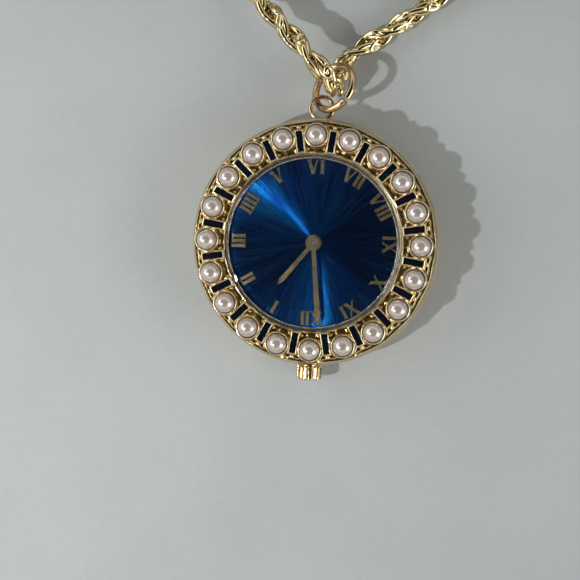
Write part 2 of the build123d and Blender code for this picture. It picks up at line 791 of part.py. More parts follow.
def barrel_bridge():
    """The bridge over the barrel, which carries the ratchet and crown wheels."""
    below = bar(4 * movement_radius, 4 * movement_radius, bridge_z - overrun, plate_z + overrun,
                (side_split + 2 * movement_radius, barrel_split - 2 * movement_radius))
    body = disc(bridge_radius, bridge_z, train_z) & below
    wall = ring(bridge_radius, movement_radius - barrel_foot_wall, bridge_z, plate_z) & below
    stem_way = bar(4 * stem_radius + overrun, movement_radius, train_z, plate_z + overrun,
                   (0, -movement_radius))
    body += wall - stem_way
    body += disc(barrel_foot_radius, bridge_z, plate_z, barrel_foot)
    body += disc(bridge_foot_wall / 2 - seat_gap, bridge_z, plate_z, barrel_side_foot)
    pocket = gear_radius(winding_pinion_teeth, winding_module) + winding_module + free_gap
    cuts = [
        disc(barrel_neck + running_gap, bridge_z - overrun, train_z + overrun, barrel_place),
        disc(screw_radius + running_gap, bridge_z - overrun, plate_z + overrun, barrel_foot),
        disc(screw_radius + running_gap, bridge_z - overrun, plate_z + overrun, barrel_side_foot),
        disc(screw_radius + running_gap, bridge_z - overrun, train_z + overrun, crown_wheel_place),
        along_y(pocket, winding_y - winding_pinion_length, winding_y + winding_pinion_length, 0, stem_z),
        along_y(sliding_pinion_radius + free_gap, winding_y, sliding_near + sliding_pinion_length + crown_pull,
                0, stem_z),
    ]
    click_hole = disc(click_post_radius + running_gap, bridge_z - overrun, train_z + overrun, click_place)
    return one(body - cuts - click_hole)


click_post_radius = 0.3
click_hub_radius = 0.45
click_distance = 0.95
click_angle = -82.0
click_nose_angle = -96.0
click_tail_angle = -10.0
click_tail_length = 0.9
click_width = 0.3
click_place = stepped(barrel_place, gear_radius(ratchet_teeth, winding_module) + click_distance, click_angle)


def balance_cock():
    """The arm that carries the balance's outer pivot."""
    body = link(balance_place, cock_foot, 2 * foot_radius, bridge_z, train_z)
    body += disc(foot_radius, bridge_z, plate_z, cock_foot)
    body = body & disc(bridge_radius, bridge_z - overrun, plate_z + overrun)
    body -= disc(jewel_radius, train_z - jewel_thickness, train_z + overrun, balance_place)
    body -= disc(pivot_radius + running_gap, bridge_z - overrun, train_z, balance_place)
    return one(body - disc(screw_radius + running_gap, bridge_z - overrun, plate_z + overrun, cock_foot))


def pallet_bridge():
    """The small bridge over the pallet fork."""
    high = pallet_bridge_z + wheel_thickness + free_gap / 2
    body = link(pallet_place, pallet_foot, foot_radius, pallet_bridge_z, high)
    body += disc(foot_radius / 2 + free_gap, pallet_bridge_z, plate_z, pallet_foot)
    body -= disc(pivot_radius + running_gap, pallet_bridge_z - overrun, high + overrun, pallet_place)
    hole = disc(screw_radius + running_gap, pallet_bridge_z - overrun, plate_z + overrun, pallet_foot)
    return one(body - hole)


def jewels():
    """Ruby bearings for the train, pallet fork and balance, in the plate and the bridges."""
    solids = []
    hole = pivot_radius + running_gap
    for p in pivots[1:] + (balance_place, pallet_place):
        solids.append(ring(jewel_radius - seat_gap, hole, plate_z, plate_z + jewel_thickness - seat_gap, p))
    for p in pivots + (balance_place,):
        solids.append(ring(jewel_radius - seat_gap, hole, train_z - jewel_thickness + seat_gap, train_z, p))
    return Compound(children=solids)


def slotted_screw(place, head_low, shank_high):
    """A slotted screw with its head at the low end."""
    head = disc(screw_head_radius, head_low, head_low + screw_head_height, place)
    middle = head_low + screw_head_height / 2
    head -= bar(4 * screw_head_radius, screw_slot, head_low - overrun, middle, place,
                screw_slot_turn * place[0] / movement_radius)
    return head + disc(screw_radius, middle, shank_high, place)


def bridge_screws():
    """The screws that hold the bridges to the plate."""
    solids = []
    for p in screw_places[:-1]:
        solids.append(slotted_screw(p, bridge_z - screw_head_height - seat_gap, plate_z + screw_depth))
    solids.append(slotted_screw(pallet_foot, pallet_bridge_z - screw_head_height - seat_gap,
                                plate_z + screw_depth))
    return Compound(children=solids)


def movement_holder():
    """The ring that centres the movement in the case."""
    inner = movement_radius + holder_gap
    body = ring(bore_radius - seat_gap, inner, back_rise + back_lip_height + seat_gap, dial_z - seat_gap)
    body -= along_y(tube_radius, -bore_radius - overrun, -inner + overrun, 0, stem_z)
    return body


def barrel_drum():
    """The toothed drum that holds the mainspring."""
    floor = barrel_z
    body = toothed(barrel_teeth, gear_module, floor, floor + 2 * wheel_thickness, barrel_place, barrel_phase)
    body += disc(gear_radius(barrel_teeth) - 2 * gear_module, floor, floor + barrel_height, barrel_place)
    inner = gear_radius(barrel_teeth) - 2 * gear_module - drum_wall
    body -= disc(inner, floor + drum_floor, floor + barrel_height + overrun, barrel_place)
    return body - disc(barrel_neck + running_gap, floor - overrun, floor + overrun, barrel_place)


def barrel_cover():
    """The lid that snaps into the drum."""
    inner = gear_radius(barrel_teeth) - 2 * gear_module - drum_wall
    high = barrel_z + barrel_height
    body = disc(inner - seat_gap, high - drum_floor, high, barrel_place)
    return body - disc(barrel_neck + running_gap, high - overrun, high + overrun, barrel_place)


def mainspring():
    """The spring coiled inside the barrel."""
    outer = gear_radius(barrel_teeth) - 2 * gear_module - drum_wall - free_gap - mainspring_width
    low = barrel_z + drum_floor + free_gap / 2
    high = barrel_z + barrel_height - drum_floor - free_gap / 2
    return spiral_ribbon(outer, mainspring_pitch, mainspring_half_turns, mainspring_width, low, high,
                         barrel_place)


def barrel_arbor():
    """The shaft that winds the mainspring, squared under the ratchet wheel."""
    body = disc(barrel_neck, bridge_z - seat_gap, plate_z - free_gap / 2, barrel_place)
    body += disc(barrel_arbor_radius, barrel_z + drum_floor + seat_gap,
                 barrel_z + barrel_height - drum_floor - seat_gap, barrel_place)
    body += disc(barrel_neck, plate_z - free_gap, plate_z + pivot_length, barrel_place)
    body += bar(barrel_square, barrel_square, ratchet_z + seat_gap, bridge_z, barrel_place)
    return one(body - disc(screw_radius, ratchet_z - overrun, ratchet_z + screw_depth, barrel_place))


def ratchet_wheel():
    """The wheel on the barrel arbor that the click holds."""
    body = toothed(ratchet_teeth, winding_module, ratchet_z, bridge_z - 2 * seat_gap, barrel_place,
                   ratchet_phase)
    square = barrel_square + seat_gap
    return body - bar(square, square, ratchet_z - overrun, bridge_z + overrun, barrel_place)


def crown_wheel():
    """The wheel that the winding pinion turns."""
    body = toothed(crown_wheel_teeth, winding_module, ratchet_z, bridge_z - 2 * seat_gap, crown_wheel_place,
                   270.0)
    return body - disc(screw_radius + running_gap, ratchet_z - overrun, bridge_z + overrun, crown_wheel_place)


def crown_wheel_screw():
    """The screw that the crown wheel turns on, which ends short of the sliding pinion."""
    screw_end = stem_z - sliding_pinion_radius - 2 * free_gap
    return slotted_screw(crown_wheel_place, ratchet_z - screw_head_height - seat_gap, screw_end)


def ratchet_screw():
    """The screw that holds the ratchet wheel on the barrel arbor."""
    body = slotted_screw(barrel_place, ratchet_z - screw_head_height - seat_gap,
                         ratchet_z + screw_depth - seat_gap)
    core = disc(screw_head_radius + overrun, 0, ratchet_z - seat_gap, barrel_place)
    return body & (core + disc(screw_radius - seat_gap, 0, train_z, barrel_place))


def click():
    """The pawl that keeps the ratchet wheel from running back."""
    high = bridge_z - 2 * seat_gap
    tip_radius = gear_radius(ratchet_teeth, winding_module) + winding_module * addendum_share
    nose = stepped(barrel_place, tip_radius + click_width / 2 + running_gap, click_nose_angle)
    tail = stepped(click_place, click_tail_length, click_tail_angle)
    body = link(click_place, nose, click_width, ratchet_z, high)
    body += link(click_place, tail, click_width, ratchet_z, high)
    body += disc(click_hub_radius, ratchet_z, high, click_place)
    return body + disc(click_post_radius, high - weld_sink, train_z - seat_gap, click_place)


def train_member(wheel_teeth, wheel_z, pinion_teeth, pinion_low, pinion_high, place, phase):
    """A wheel and pinion on one arbor."""
    body = wheel(wheel_teeth, wheel_z, place, phase)
    body += toothed(pinion_teeth, gear_module, pinion_low, pinion_high, place, phase)
    return body + arbor(place, train_z + seat_gap, plate_z - seat_gap)


def centre_wheel():
    """The wheel that turns once an hour, with the long arbor for the cannon pinion."""
    body = train_member(centre_wheel_teeth, centre_wheel_z, centre_pinion_teeth,
                        barrel_z, centre_wheel_z + weld_sink, centre, centre_phase)
    return body + disc(cannon_bore - running_gap / 3, plate_z - weld_sink, minute_hand_z, centre)


def third_wheel():
    """The wheel between the centre wheel and the fourth wheel."""
    return train_member(third_wheel_teeth, third_wheel_z, third_pinion_teeth,
                        centre_wheel_z - free_gap, centre_wheel_z + wheel_thickness + free_gap / 2,
                        third_place, third_phase)


def fourth_wheel():
    """The wheel that drives the escape pinion."""
    return train_member(fourth_wheel_teeth, fourth_wheel_z, fourth_pinion_teeth,
                        third_wheel_z - free_gap, third_wheel_z + wheel_thickness + free_gap,
                        fourth_place, fourth_phase)


escape_root_share = 0.76
escape_heel_share = 0.96
escape_turn_shares = (-0.42, 0.1, 0.3, 0.42)  # the corners of a tooth, in shares of the pitch
escape_arbor_radius = 0.15
escape_spoke_width = 0.24
fork_width = 0.27
horn_width = 0.19


def escape_wheel():
    """The escape wheel with its club teeth, and its pinion."""
    low = escape_wheel_z
    high = low + wheel_thickness
    pitch = 360.0 / escape_teeth
    root = escape_radius * escape_root_share
    reaches = (root, root, escape_radius * escape_heel_share, escape_radius)
    corners = [polar(reach, escape_phase + (k + share) * pitch)
               for k in range(escape_teeth) for reach, share in zip(reaches, escape_turn_shares)]
    rim = extrude(make_face(Polyline(*corners, close=True)), amount=wheel_thickness)
    body = Pos(escape_place[0], escape_place[1], low) * rim
    body -= disc(root - wheel_rim / 2, low - overrun, high + overrun, escape_place)
    for turn in (0, 90):
        body += bar(2 * root - wheel_rim / 2, escape_spoke_width, low, high, escape_place, turn)
    body += disc(spoke_width, low, high, escape_place)
    body += toothed(escape_pinion_teeth, gear_module, fourth_wheel_z - free_gap,
                    fourth_wheel_z + wheel_thickness + free_gap, escape_place, escape_phase)
    return body + arbor(escape_place, train_z + seat_gap, plate_z - seat_gap, escape_arbor_radius)


def pallet_fork():
    """The lever with two pallet arms and a fork for the impulse pin."""
    low = pallet_z
    high = low + wheel_thickness
    to_wheel = math.degrees(math.atan2(escape_place[1] - pallet_place[1], escape_place[0] - pallet_place[0]))
    to_balance = math.degrees(math.atan2(balance_place[1] - pallet_place[1],
                                         balance_place[0] - pallet_place[0]))
    body = disc(spoke_width, low, high, pallet_place)
    for side in (-1, 1):
        arm = stepped(pallet_place, pallet_arm, to_wheel + side * pallet_spread)
        body += link(pallet_place, arm, fork_width, low, high)
    lever_end = stepped(pallet_place, balance_distance * fork_share, to_balance)
    body += link(pallet_place, lever_end, fork_width, low, high)
    for side in (-1, 1):
        horn = stepped(pallet_place, balance_distance * horn_share, to_balance + side * horn_spread)
        body += link(lever_end, horn, horn_width, low, high)
    shaft = disc(arbor_radius, pallet_bridge_z + wheel_thickness + free_gap, plate_z - seat_gap, pallet_place)
    pins = disc(pivot_radius, pallet_bridge_z, plate_z + jewel_thickness / 2, pallet_place)
    return one(body + shaft + pins)


balance_arm_angle = 40.0
balance_hub_radius = 0.41
roller_radius = 0.52
impulse_radius = 0.07


def balance_wheel():
    """The balance rim with two arms."""
    high = balance_z + balance_thickness
    body = ring(balance_radius, balance_radius - balance_rim, balance_z, high, balance_place)
    body += bar(2 * balance_radius - balance_rim, spoke_width, balance_z, high, balance_place,
                balance_arm_angle)
    body += disc(balance_hub_radius, balance_z, high, balance_place)
    return body - disc(arbor_radius + seat_gap, balance_z - overrun, high + overrun, balance_place)


def balance_staff():
    """The balance's axle, with its roller and impulse pin."""
    low = train_z + seat_gap
    body = arbor(balance_place, low, plate_z - seat_gap)
    roller_low = pallet_z - free_gap - wheel_thickness
    body += disc(roller_radius, roller_low, pallet_z - free_gap, balance_place)
    to_fork = math.degrees(math.atan2(pallet_place[1] - balance_place[1], pallet_place[0] - balance_place[0]))
    pin = stepped(balance_place, roller_radius - impulse_radius - running_gap, to_fork)
    return body + disc(impulse_radius, roller_low, pallet_z + wheel_thickness, pin)


def hairspring():
    """The flat spiral spring of the balance, with its stud in the cock."""
    high = train_z + hairspring_height + seat_gap
    low = train_z + seat_gap
    return spiral_ribbon(hairspring_radius, hairspring_pitch, hairspring_half_turns, hairspring_width,
                         low, high, balance_place)


def case_tube():
    """The tube that the stem passes through in the case wall."""
    near = -case_radius - tube_proud
    far = -bore_radius + holder_gap
    tube_wall_inner = tube_radius - tube_wall
    return along_y(tube_radius, near, far, 0, stem_z) - along_y(tube_wall_inner, near - overrun,
                                                                 far + overrun, 0, stem_z)


crown_near = -case_radius - crown_gap - crown_length
crown_far = -case_radius - crown_gap
groove_y = winding_y - lever_reach


def stem():
    """The winding stem: threaded in the crown, grooved for the setting lever, squared in the pinions."""
    pilot = sliding_near + sliding_pinion_length + crown_pull
    body = along_y(stem_radius, crown_near + crown_length / 3, winding_y - winding_pinion_length / 2
                   - seat_gap, 0, stem_z)
    near = groove_y - groove_width / 2
    body -= (along_y(stem_radius + overrun, near, near + groove_width, 0, stem_z)
             - along_y(groove_radius, groove_y - overrun, groove_y + overrun, 0, stem_z))
    square = square_radius * math.sqrt(2)
    length = pilot - winding_y + winding_pinion_length
    core = Box(square, length, square, align=(Align.CENTER, Align.MIN, Align.CENTER))
    return one(body + Pos(0, winding_y - winding_pinion_length, stem_z) * core)


sliding_near = winding_y + winding_pinion_length / 2 + free_gap


def stem_gear(near, far, teeth, module):
    """A pinion on the stem, square bored."""
    body = toothed(teeth, module, 0, far - near)
    body = Pos(0, near, stem_z) * Rot(-90, 0, 0) * body
    square = square_radius * math.sqrt(2) + 2 * running_gap
    hole = Box(square, far - near + 2 * overrun, square, align=(Align.CENTER, Align.MIN, Align.CENTER))
    return body - Pos(0, near - overrun, stem_z) * hole


def winding_pinion():
    """The pinion that drives the crown wheel, loose on the stem."""
    half = winding_pinion_length / 2
    body = stem_gear(winding_y - half, winding_y + half, winding_pinion_teeth, winding_module)
    return body - along_y(square_radius + running_gap, winding_y - overrun, winding_y + overrun, 0, stem_z)


def sliding_pinion():
    """The clutch that slides on the stem's square."""
    near = sliding_near
    far = near + sliding_pinion_length
    body = along_y(sliding_pinion_radius, near, far, 0, stem_z)
    waist = near + sliding_pinion_length / 2
    body -= (along_y(sliding_pinion_radius + overrun, waist - free_gap, waist + free_gap, 0, stem_z)
             - along_y(sliding_waist_radius, waist - overrun, waist + overrun, 0, stem_z))
    square = square_radius * math.sqrt(2) + 2 * running_gap
    hole = Box(square, sliding_pinion_length + 2 * overrun, square,
               align=(Align.CENTER, Align.MIN, Align.CENTER))
    return body - Pos(0, near - overrun, stem_z) * hole


def setting_lever():
    """The lever that follows the stem's groove when the crown is pulled."""
    low = motion_z + seat_gap
    high = low + lever_thickness
    body = link(lever_place, (0, groove_y), lever_width, low, high)
    body += disc(lever_pin_radius, stem_z + groove_radius + free_gap / 2, low + weld_sink, (0, groove_y))
    return body + disc(lever_post_radius, motion_z - pivot_length, low + weld_sink, lever_place)


def yoke():
    """The lever that shifts the sliding pinion."""
    low = motion_z + seat_gap
    high = low + lever_thickness
    waist = sliding_near + sliding_pinion_length / 2
    tip = (-sliding_pinion_radius - free_gap, waist)
    body = link(yoke_place, tip, yoke_width, low, high)
    return body + disc(lever_post_radius, motion_z - pivot_length, low + weld_sink, yoke_place)


def crown():
    """The fluted winding crown."""
    body = along_y(crown_radius, crown_near, crown_far, 0, stem_z)
    body = chamfer(body.edges().filter_by(GeomType.CIRCLE), crown_length / 8)
    cuts = []
    for k in range(crown_flutes):
        at = 360.0 * k / crown_flutes
        x, z = polar(crown_radius, at)
        cuts.append(along_y(flute_radius, crown_near - overrun, crown_far + overrun, x, stem_z + z))
    body = body - cuts
    recess = along_y(tube_radius + free_gap, crown_far - crown_length / 2, crown_far + overrun, 0, stem_z)
    hole = along_y(stem_radius + seat_gap, crown_near + crown_length / 3 - seat_gap, crown_far, 0, stem_z)
    return one(body - recess - hole)


# Pendant loop and jump ring
loop_y = case_radius + loop_radius - loop_wire / 2
lean = math.radians(ring_lean)
tilt = math.radians(ring_tilt)
ring_out = Vector(math.sin(lean), math.cos(lean), 0)
ring_along = Vector(math.cos(tilt) * math.cos(lean), -math.cos(tilt) * math.sin(lean), math.sin(tilt))
ring_centre = Vector(0, loop_y, loop_z) + ring_out * ring_radius
ring_normal = ring_out.cross(ring_along)


def pendant_loop():
    """The eye brazed to the top of the case."""
    eye = Pos(0, loop_y, loop_z) * Torus(loop_radius, loop_wire)
    neck = along_y(loop_neck_radius, case_radius - loop_wire, loop_y - loop_radius + loop_wire / 2, 0, loop_z)
    eye += neck
    return one(eye - disc(case_radius + seat_gap, loop_z - loop_radius, loop_z + loop_radius))


def jump_ring():
    """The round ring that joins the pendant loop to the chain."""
    plane = Plane(origin=ring_centre, x_dir=ring_out, z_dir=ring_normal)
    return plane * Torus(ring_radius, ring_wire)


# The chain: a limp rope of links, here a plain round tube. It passes down through the jump ring, so the
# left strand leaves above the ring and the right strand below it. The points of both routes were chosen
# from the photograph, and those of the hidden stretches by how such a chain lies. Each is given as x and
# y from the jump ring's centre, with its height above the surface.
floor_z = chain_diameter / 2
layer_z = floor_z + chain_diameter + layer_gap
pitch = chain_diameter + coil_gap
coil_y = 34.094
left_coil_x = -16.684
right_coil_x = 20.116
left_steps = (
    (0.046, 0.094, 3.7), (0.046, 0.094, 4.35), (-0.374, 0.584, 5.46), (-1.094, 1.424, 6.1),
    (-2.784, 3.194, 6.15), (-5.584, 6.094, 5.1), (-8.884, 9.294, 3.5), (-12.084, 13.494, 2.0),
    (-14.584, 18.494, 1.3), (-16.084, 23.694, floor_z), (left_coil_x, 29.094, floor_z),
    (left_coil_x, coil_y, floor_z),
)
right_steps = (
    (0.046, 0.094, 3.7), (0.046, 0.094, 3.05), (0.206, 0.714, 1.94), (0.486, 1.794, 1.3),
    (1.216, 3.894, floor_z), (4.316, 6.044, floor_z), (8.516, 8.994, floor_z), (13.116, 12.694, 1.5),
    (16.916, 17.294, 2.3), (19.216, 22.694, 3.3), (right_coil_x, 28.394, layer_z),
    (right_coil_x, coil_y, layer_z),
)
left_route = tuple((ring_centre.X + x, ring_centre.Y + y, z) for x, y, z in left_steps)
right_route = tuple((ring_centre.X + x, ring_centre.Y + y, z) for x, y, z in right_steps)
fold_share = 0.45


def corner_radii(points):
    """The radius of the arc at each corner of a route, from the shorter of the runs that meet there.

    Nothing else uses up the first and the last run, so those count double.
    """
    runs = [math.dist(a, b) for a, b in zip(points, points[1:])]
    runs[0] *= 2
    runs[-1] *= 2
    radii = []
    for a, b, c, before, after in zip(points, points[1:], points[2:], runs, runs[1:]):
        turn = math.radians((Vector(*b) - Vector(*a)).get_angle(Vector(*c) - Vector(*b)))
        radii.append(fold_share * min(before, after) / math.tan(turn / 2))
    return radii


def report_strand(name, path, solid, radii, gap):
    """Prints what is worth checking about a stretch of chain."""
    section = math.pi * (chain_diameter / 2) ** 2
    share = solid.volume / (section * path.length)
    print(name, "length", round(path.length, 2), "volume over section times length", round(share, 4))
    print(name, "radii", [round(r, 2) for r in radii], "least gap to itself", gap)


def run_of(points, name):
    """The free stretch of one strand, from the ring to its coil."""
    radii = corner_radii(points)
    path = FilletPolyline(*points, radius=radii)
    solid = tube(path, chain_diameter / 2)
    report_strand(name, path, solid, radii, "none")
    return solid


def coil_radii(first, half_turns, last):
    """The radius of each half turn of a flat coil, with a tighter last one."""
    return [first - k * pitch / 2 for k in range(half_turns)] + [last]


def coil_of(start, radii, inward, name):
    """One flat coil as one unbroken tube. It starts heading along +Y and curls towards inward, -1 or 1."""
    edges = []
    x, y, z = start
    heading = 1
    for radius in radii:
        step = 2 * radius * inward * heading
        edges.append(ThreePointArc((x, y, z), (x + step / 2, y + heading * radius, z), (x + step, y, z)))
        x += step
        heading = -heading
    end = (x, y + heading * chain_diameter)
    edges.append(Line((x, y, z), (end[0], end[1], z)))
    path = Wire(edges)
    solid = tube(path, chain_diameter / 2)
    gap = min(2 * (a - b) for a, b in zip(radii, radii[1:])) - chain_diameter
    report_strand(name, path, solid, radii, round(gap, 3))
    return solid, end, heading


left_radii = coil_radii(left_coil_radius, left_half_turns, left_last_radius)
right_radii = coil_radii(right_coil_radius, right_half_turns, right_last_radius)


def cap_eye_y(end_y, heading):
    """Where the eye of a cap is centred, for a chain end and its heading along Y."""
    return end_y + heading * (cap_length + cap_eye_radius)


def end_cap(end, z, heading):
    """A cap crimped on the chain's end, with an upright eye."""
    near, far = sorted((end[1] + heading * seat_gap, end[1] + heading * (cap_length + cap_eye_wire / 2)))
    eye = Pos(end[0], cap_eye_y(end[1], heading), z) * Rot(0, 90, 0) * Torus(cap_eye_radius, cap_eye_wire)
    return along_y(cap_radius, near, far, end[0], z + cap_radius - chain_diameter / 2 + cap_eye_drop) + eye


def arc_rod(radius, wire, start, reach, place, z):
    """A round rod bent about Z, from a start angle over a reach in degrees."""
    section = Pos(radius, 0, 0) * Rot(90, 0, 0) * Circle(wire)
    return Pos(place[0], place[1], z) * Rot(0, 0, start) * revolve(section, Axis.Z, reach)


def clasp_centre(end, heading):
    """Where the spring ring is centred: beyond the cap's eye and its own eye."""
    eye_y = cap_eye_y(end[1], heading) + heading * cap_eye_radius
    return end[0], eye_y + heading * (clasp_eye_radius + clasp_tube - clasp_eye_wire / 2 + clasp_radius)


def clasp_body(end, heading):
    """The hollow spring ring with its eye and the slot for the bolt's knob."""
    place = clasp_centre(end, heading)
    first = clasp_opening_start + clasp_opening
    body = arc_rod(clasp_radius, clasp_tube, first, 360 - clasp_opening, place, clasp_z)
    bore_start = clasp_opening_start - bolt_tail - clasp_opening - clasp_grip
    bore_reach = bolt_tail + 2 * (clasp_opening + clasp_grip) + clasp_grip / 2
    body -= arc_rod(clasp_radius, clasp_bolt_radius + running_gap, bore_start, bore_reach, place, clasp_z)
    slot = Pos(clasp_radius + clasp_tube, 0, 0) * Rot(90, 0, 0) * Rectangle(2 * clasp_tube, 3 * knob_radius)
    slot = Rot(0, 0, clasp_opening_start - clasp_opening - 3 * clasp_grip) * revolve(
        slot, Axis.Z, clasp_opening + 2.5 * clasp_grip)
    body -= Pos(place[0], place[1], clasp_z) * slot
    eye_y = cap_eye_y(end[1], heading) + heading * cap_eye_radius
    return body + Pos(end[0], eye_y, clasp_z) * Torus(clasp_eye_radius, clasp_eye_wire)


bolt_tail = 25.0  # degrees of the closed bolt that stay inside the near side


def clasp_bolt(end, heading):
    """The curved bolt that closes the spring ring, with its knob."""
    place = clasp_centre(end, heading)
    start = clasp_opening_start - bolt_tail
    reach = bolt_tail + clasp_opening + clasp_grip
    body = arc_rod(clasp_radius, clasp_bolt_radius, start, reach, place, clasp_z)
    knob = Pos(clasp_radius + clasp_tube / 2, 0, 0) * Rot(0, 90, 0) * Cylinder(knob_radius, 2 * knob_length)
    return body + Pos(place[0], place[1], clasp_z) * Rot(0, 0, clasp_opening_start - clasp_grip) * knob


def clasp_tag(end, z, heading):
    """The oval tag that the spring ring closes on."""
    eye_y = cap_eye_y(end[1], heading)
    hole_y = eye_y + heading * (tag_wall / 2 + tag_hole)
    far_y = hole_y + heading * (tag_length - 2 * (tag_hole + tag_wall))
    low = z - tag_thickness / 2
    plate = link((end[0], hole_y), (end[0], far_y), tag_width, low, low + tag_thickness)
    near_cut = bar(tag_width + overrun, tag_width, low - overrun, low + tag_thickness + overrun,
                   (end[0], hole_y - heading * (tag_hole + tag_wall + tag_width / 2)))
    for y in (hole_y, far_y):
        plate -= disc(tag_hole, low - overrun, low + tag_thickness + overrun, (end[0], y))
    return plate - near_cut


def build():
    """Makes every piece under its node's name."""
    parts["case_body"] = case_body()
    parts["case_back"] = case_back()
    parts["bezel"] = bezel()
    parts["pearls"] = pearls()
    parts["enamel_bars"] = enamel_bars()
    parts["crystal"] = crystal()
    parts["dial"] = dial()
    parts["dial_numerals"] = numerals()
    parts["hour_hand"] = hand(hour_hand_length, hour_hand_width, hour_hub_radius,
                              hour_tube_outer + seat_gap / 2,
                              hour_hand_z, hour_hand_angle)
    parts["minute_hand"] = hand(minute_hand_length, minute_hand_width, minute_hub_radius,
                                cannon_outer + seat_gap / 2, minute_hand_z, minute_hand_angle)
    parts["cannon_pinion"] = cannon_pinion()
    parts["hour_wheel"] = hour_wheel()
    parts["minute_wheel"] = minute_wheel()
    parts["setting_wheel"] = setting_wheel()
    parts["main_plate"] = main_plate()
    parts["train_bridge"] = train_bridge()
    parts["barrel_bridge"] = barrel_bridge()
    parts["balance_cock"] = balance_cock()
    parts["pallet_bridge"] = pallet_bridge()
    parts["jewels"] = jewels()
    parts["bridge_screws"] = bridge_screws()
    parts["movement_holder"] = movement_holder()
    parts["barrel_drum"] = barrel_drum()
    parts["barrel_cover"] = barrel_cover()
    parts["mainspring"] = mainspring()
    parts["barrel_arbor"] = barrel_arbor()
    parts["ratchet_wheel"] = ratchet_wheel()
    parts["crown_wheel"] = crown_wheel()
    parts["crown_wheel_screw"] = crown_wheel_screw()
    parts["ratchet_screw"] = ratchet_screw()
    parts["click"] = click()
    parts["centre_wheel"] = centre_wheel()
    parts["third_wheel"] = third_wheel()
    parts["fourth_wheel"] = fourth_wheel()
    parts["escape_wheel"] = escape_wheel()
    parts["pallet_fork"] = pallet_fork()
    parts["balance_wheel"] = balance_wheel()
    parts["balance_staff"] = balance_staff()
    parts["hairspring"] = hairspring()
    parts["case_tube"] = case_tube()
    parts["stem"] = stem()
    parts["winding_pinion"] = winding_pinion()
    parts["sliding_pinion"] = sliding_pinion()
    parts["setting_lever"] = setting_lever()
    parts["yoke"] = yoke()
    parts["crown"] = crown()
    parts["pendant_loop"] = pendant_loop()
    parts["jump_ring"] = jump_ring()
    parts["chain_left_run"] = run_of(left_route, "left run")
    parts["chain_right_run"] = run_of(right_route, "right run")
    left_coil, left_end, left_heading = coil_of(left_route[-1], left_radii, 1, "left coil")
    right_coil, right_end, right_heading = coil_of(right_route[-1], right_radii, -1, "right coil")
    parts["chain_left_coil"] = left_coil
    parts["chain_right_coil"] = right_coil
    parts["left_end_cap"] = end_cap(left_end, floor_z - cap_eye_drop, left_heading)
    parts["right_end_cap"] = end_cap(right_end, layer_z - cap_eye_drop, right_heading)
    parts["clasp_body"] = clasp_body(left_end, left_heading)
    parts["clasp_bolt"] = clasp_bolt(left_end, left_heading)
    parts["clasp_tag"] = clasp_tag(right_end, layer_z - cap_eye_drop, right_heading)


build()
for name, shape in parts.items():
    export_step(shape, f"parts/{name}.step")
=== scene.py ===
"""The looks of a pendant watch on a rope chain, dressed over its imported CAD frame. Lengths are metres."""

import json
import math

import bpy
import numpy as np
from mathutils import Matrix, Vector


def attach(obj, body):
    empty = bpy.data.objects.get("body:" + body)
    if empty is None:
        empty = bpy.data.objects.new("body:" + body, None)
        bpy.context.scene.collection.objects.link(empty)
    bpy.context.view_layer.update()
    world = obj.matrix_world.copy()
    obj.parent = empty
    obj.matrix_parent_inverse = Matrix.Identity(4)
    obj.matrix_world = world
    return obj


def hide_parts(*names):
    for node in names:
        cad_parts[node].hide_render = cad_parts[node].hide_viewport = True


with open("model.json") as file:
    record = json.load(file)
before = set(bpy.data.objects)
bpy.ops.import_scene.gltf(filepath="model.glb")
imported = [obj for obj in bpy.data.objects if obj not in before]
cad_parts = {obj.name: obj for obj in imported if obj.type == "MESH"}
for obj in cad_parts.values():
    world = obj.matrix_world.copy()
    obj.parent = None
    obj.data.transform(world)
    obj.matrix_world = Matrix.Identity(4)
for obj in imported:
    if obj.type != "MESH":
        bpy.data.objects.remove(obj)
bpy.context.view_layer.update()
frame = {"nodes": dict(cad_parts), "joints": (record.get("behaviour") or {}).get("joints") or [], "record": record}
nodes = frame["nodes"]
joints = {joint["name"]: joint for joint in frame["joints"]}
MM = 0.001


def mm(value):
    """Millimetres to metres."""
    return value * MM


# Camera: nearly straight above and a little to the right, with the watch's axis rolled clockwise in view
frame_pixels = 580
pixel_size = mm(0.1165)
case_pixel = (313.0, 242.8)
bezel_level = mm(6.6)
camera_reach = mm(162)
camera_right_degrees = 5.2
camera_up_degrees = 1.55
camera_roll_degrees = 3.1
sensor_width = 36.0
clip_near = mm(5)
clip_far = 20.0


def from_pixel(x, y, z):
    """The point at height z that the photograph shows at a pixel, taken as a parallel view."""
    roll = math.radians(camera_roll_degrees)
    right = (x - case_pixel[0]) * pixel_size
    up = (case_pixel[1] - y) * pixel_size
    return Vector((
        right * math.cos(roll) - up * math.sin(roll),
        right * math.sin(roll) + up * math.cos(roll),
        z,
    ))


def looking(place, target, up):
    """The matrix of a camera or lamp at place that looks at target."""
    back = (place - target).normalized()
    right = up.cross(back).normalized()
    turn = Matrix((right, back.cross(right), back)).transposed()
    return Matrix.Translation(place) @ turn.to_4x4()


def make_camera():
    """The photograph's camera."""
    data = bpy.data.cameras.new("camera")
    data.sensor_width = sensor_width
    data.lens = sensor_width * camera_reach / (frame_pixels * pixel_size)
    data.clip_start = clip_near
    data.clip_end = clip_far
    camera = bpy.data.objects.new("camera", data)
    bpy.context.scene.collection.objects.link(camera)
    right = math.tan(math.radians(camera_right_degrees))
    up = math.tan(math.radians(camera_up_degrees))
    place = Vector((0, 0, bezel_level)) + Vector((right, up, 1)).normalized() * camera_reach
    target = from_pixel(frame_pixels / 2, frame_pixels / 2, bezel_level)
    roll = math.radians(camera_roll_degrees)
    camera.matrix_world = looking(place, target, Vector((-math.sin(roll), math.cos(roll), 0)))
    bpy.context.scene.camera = camera


make_camera()


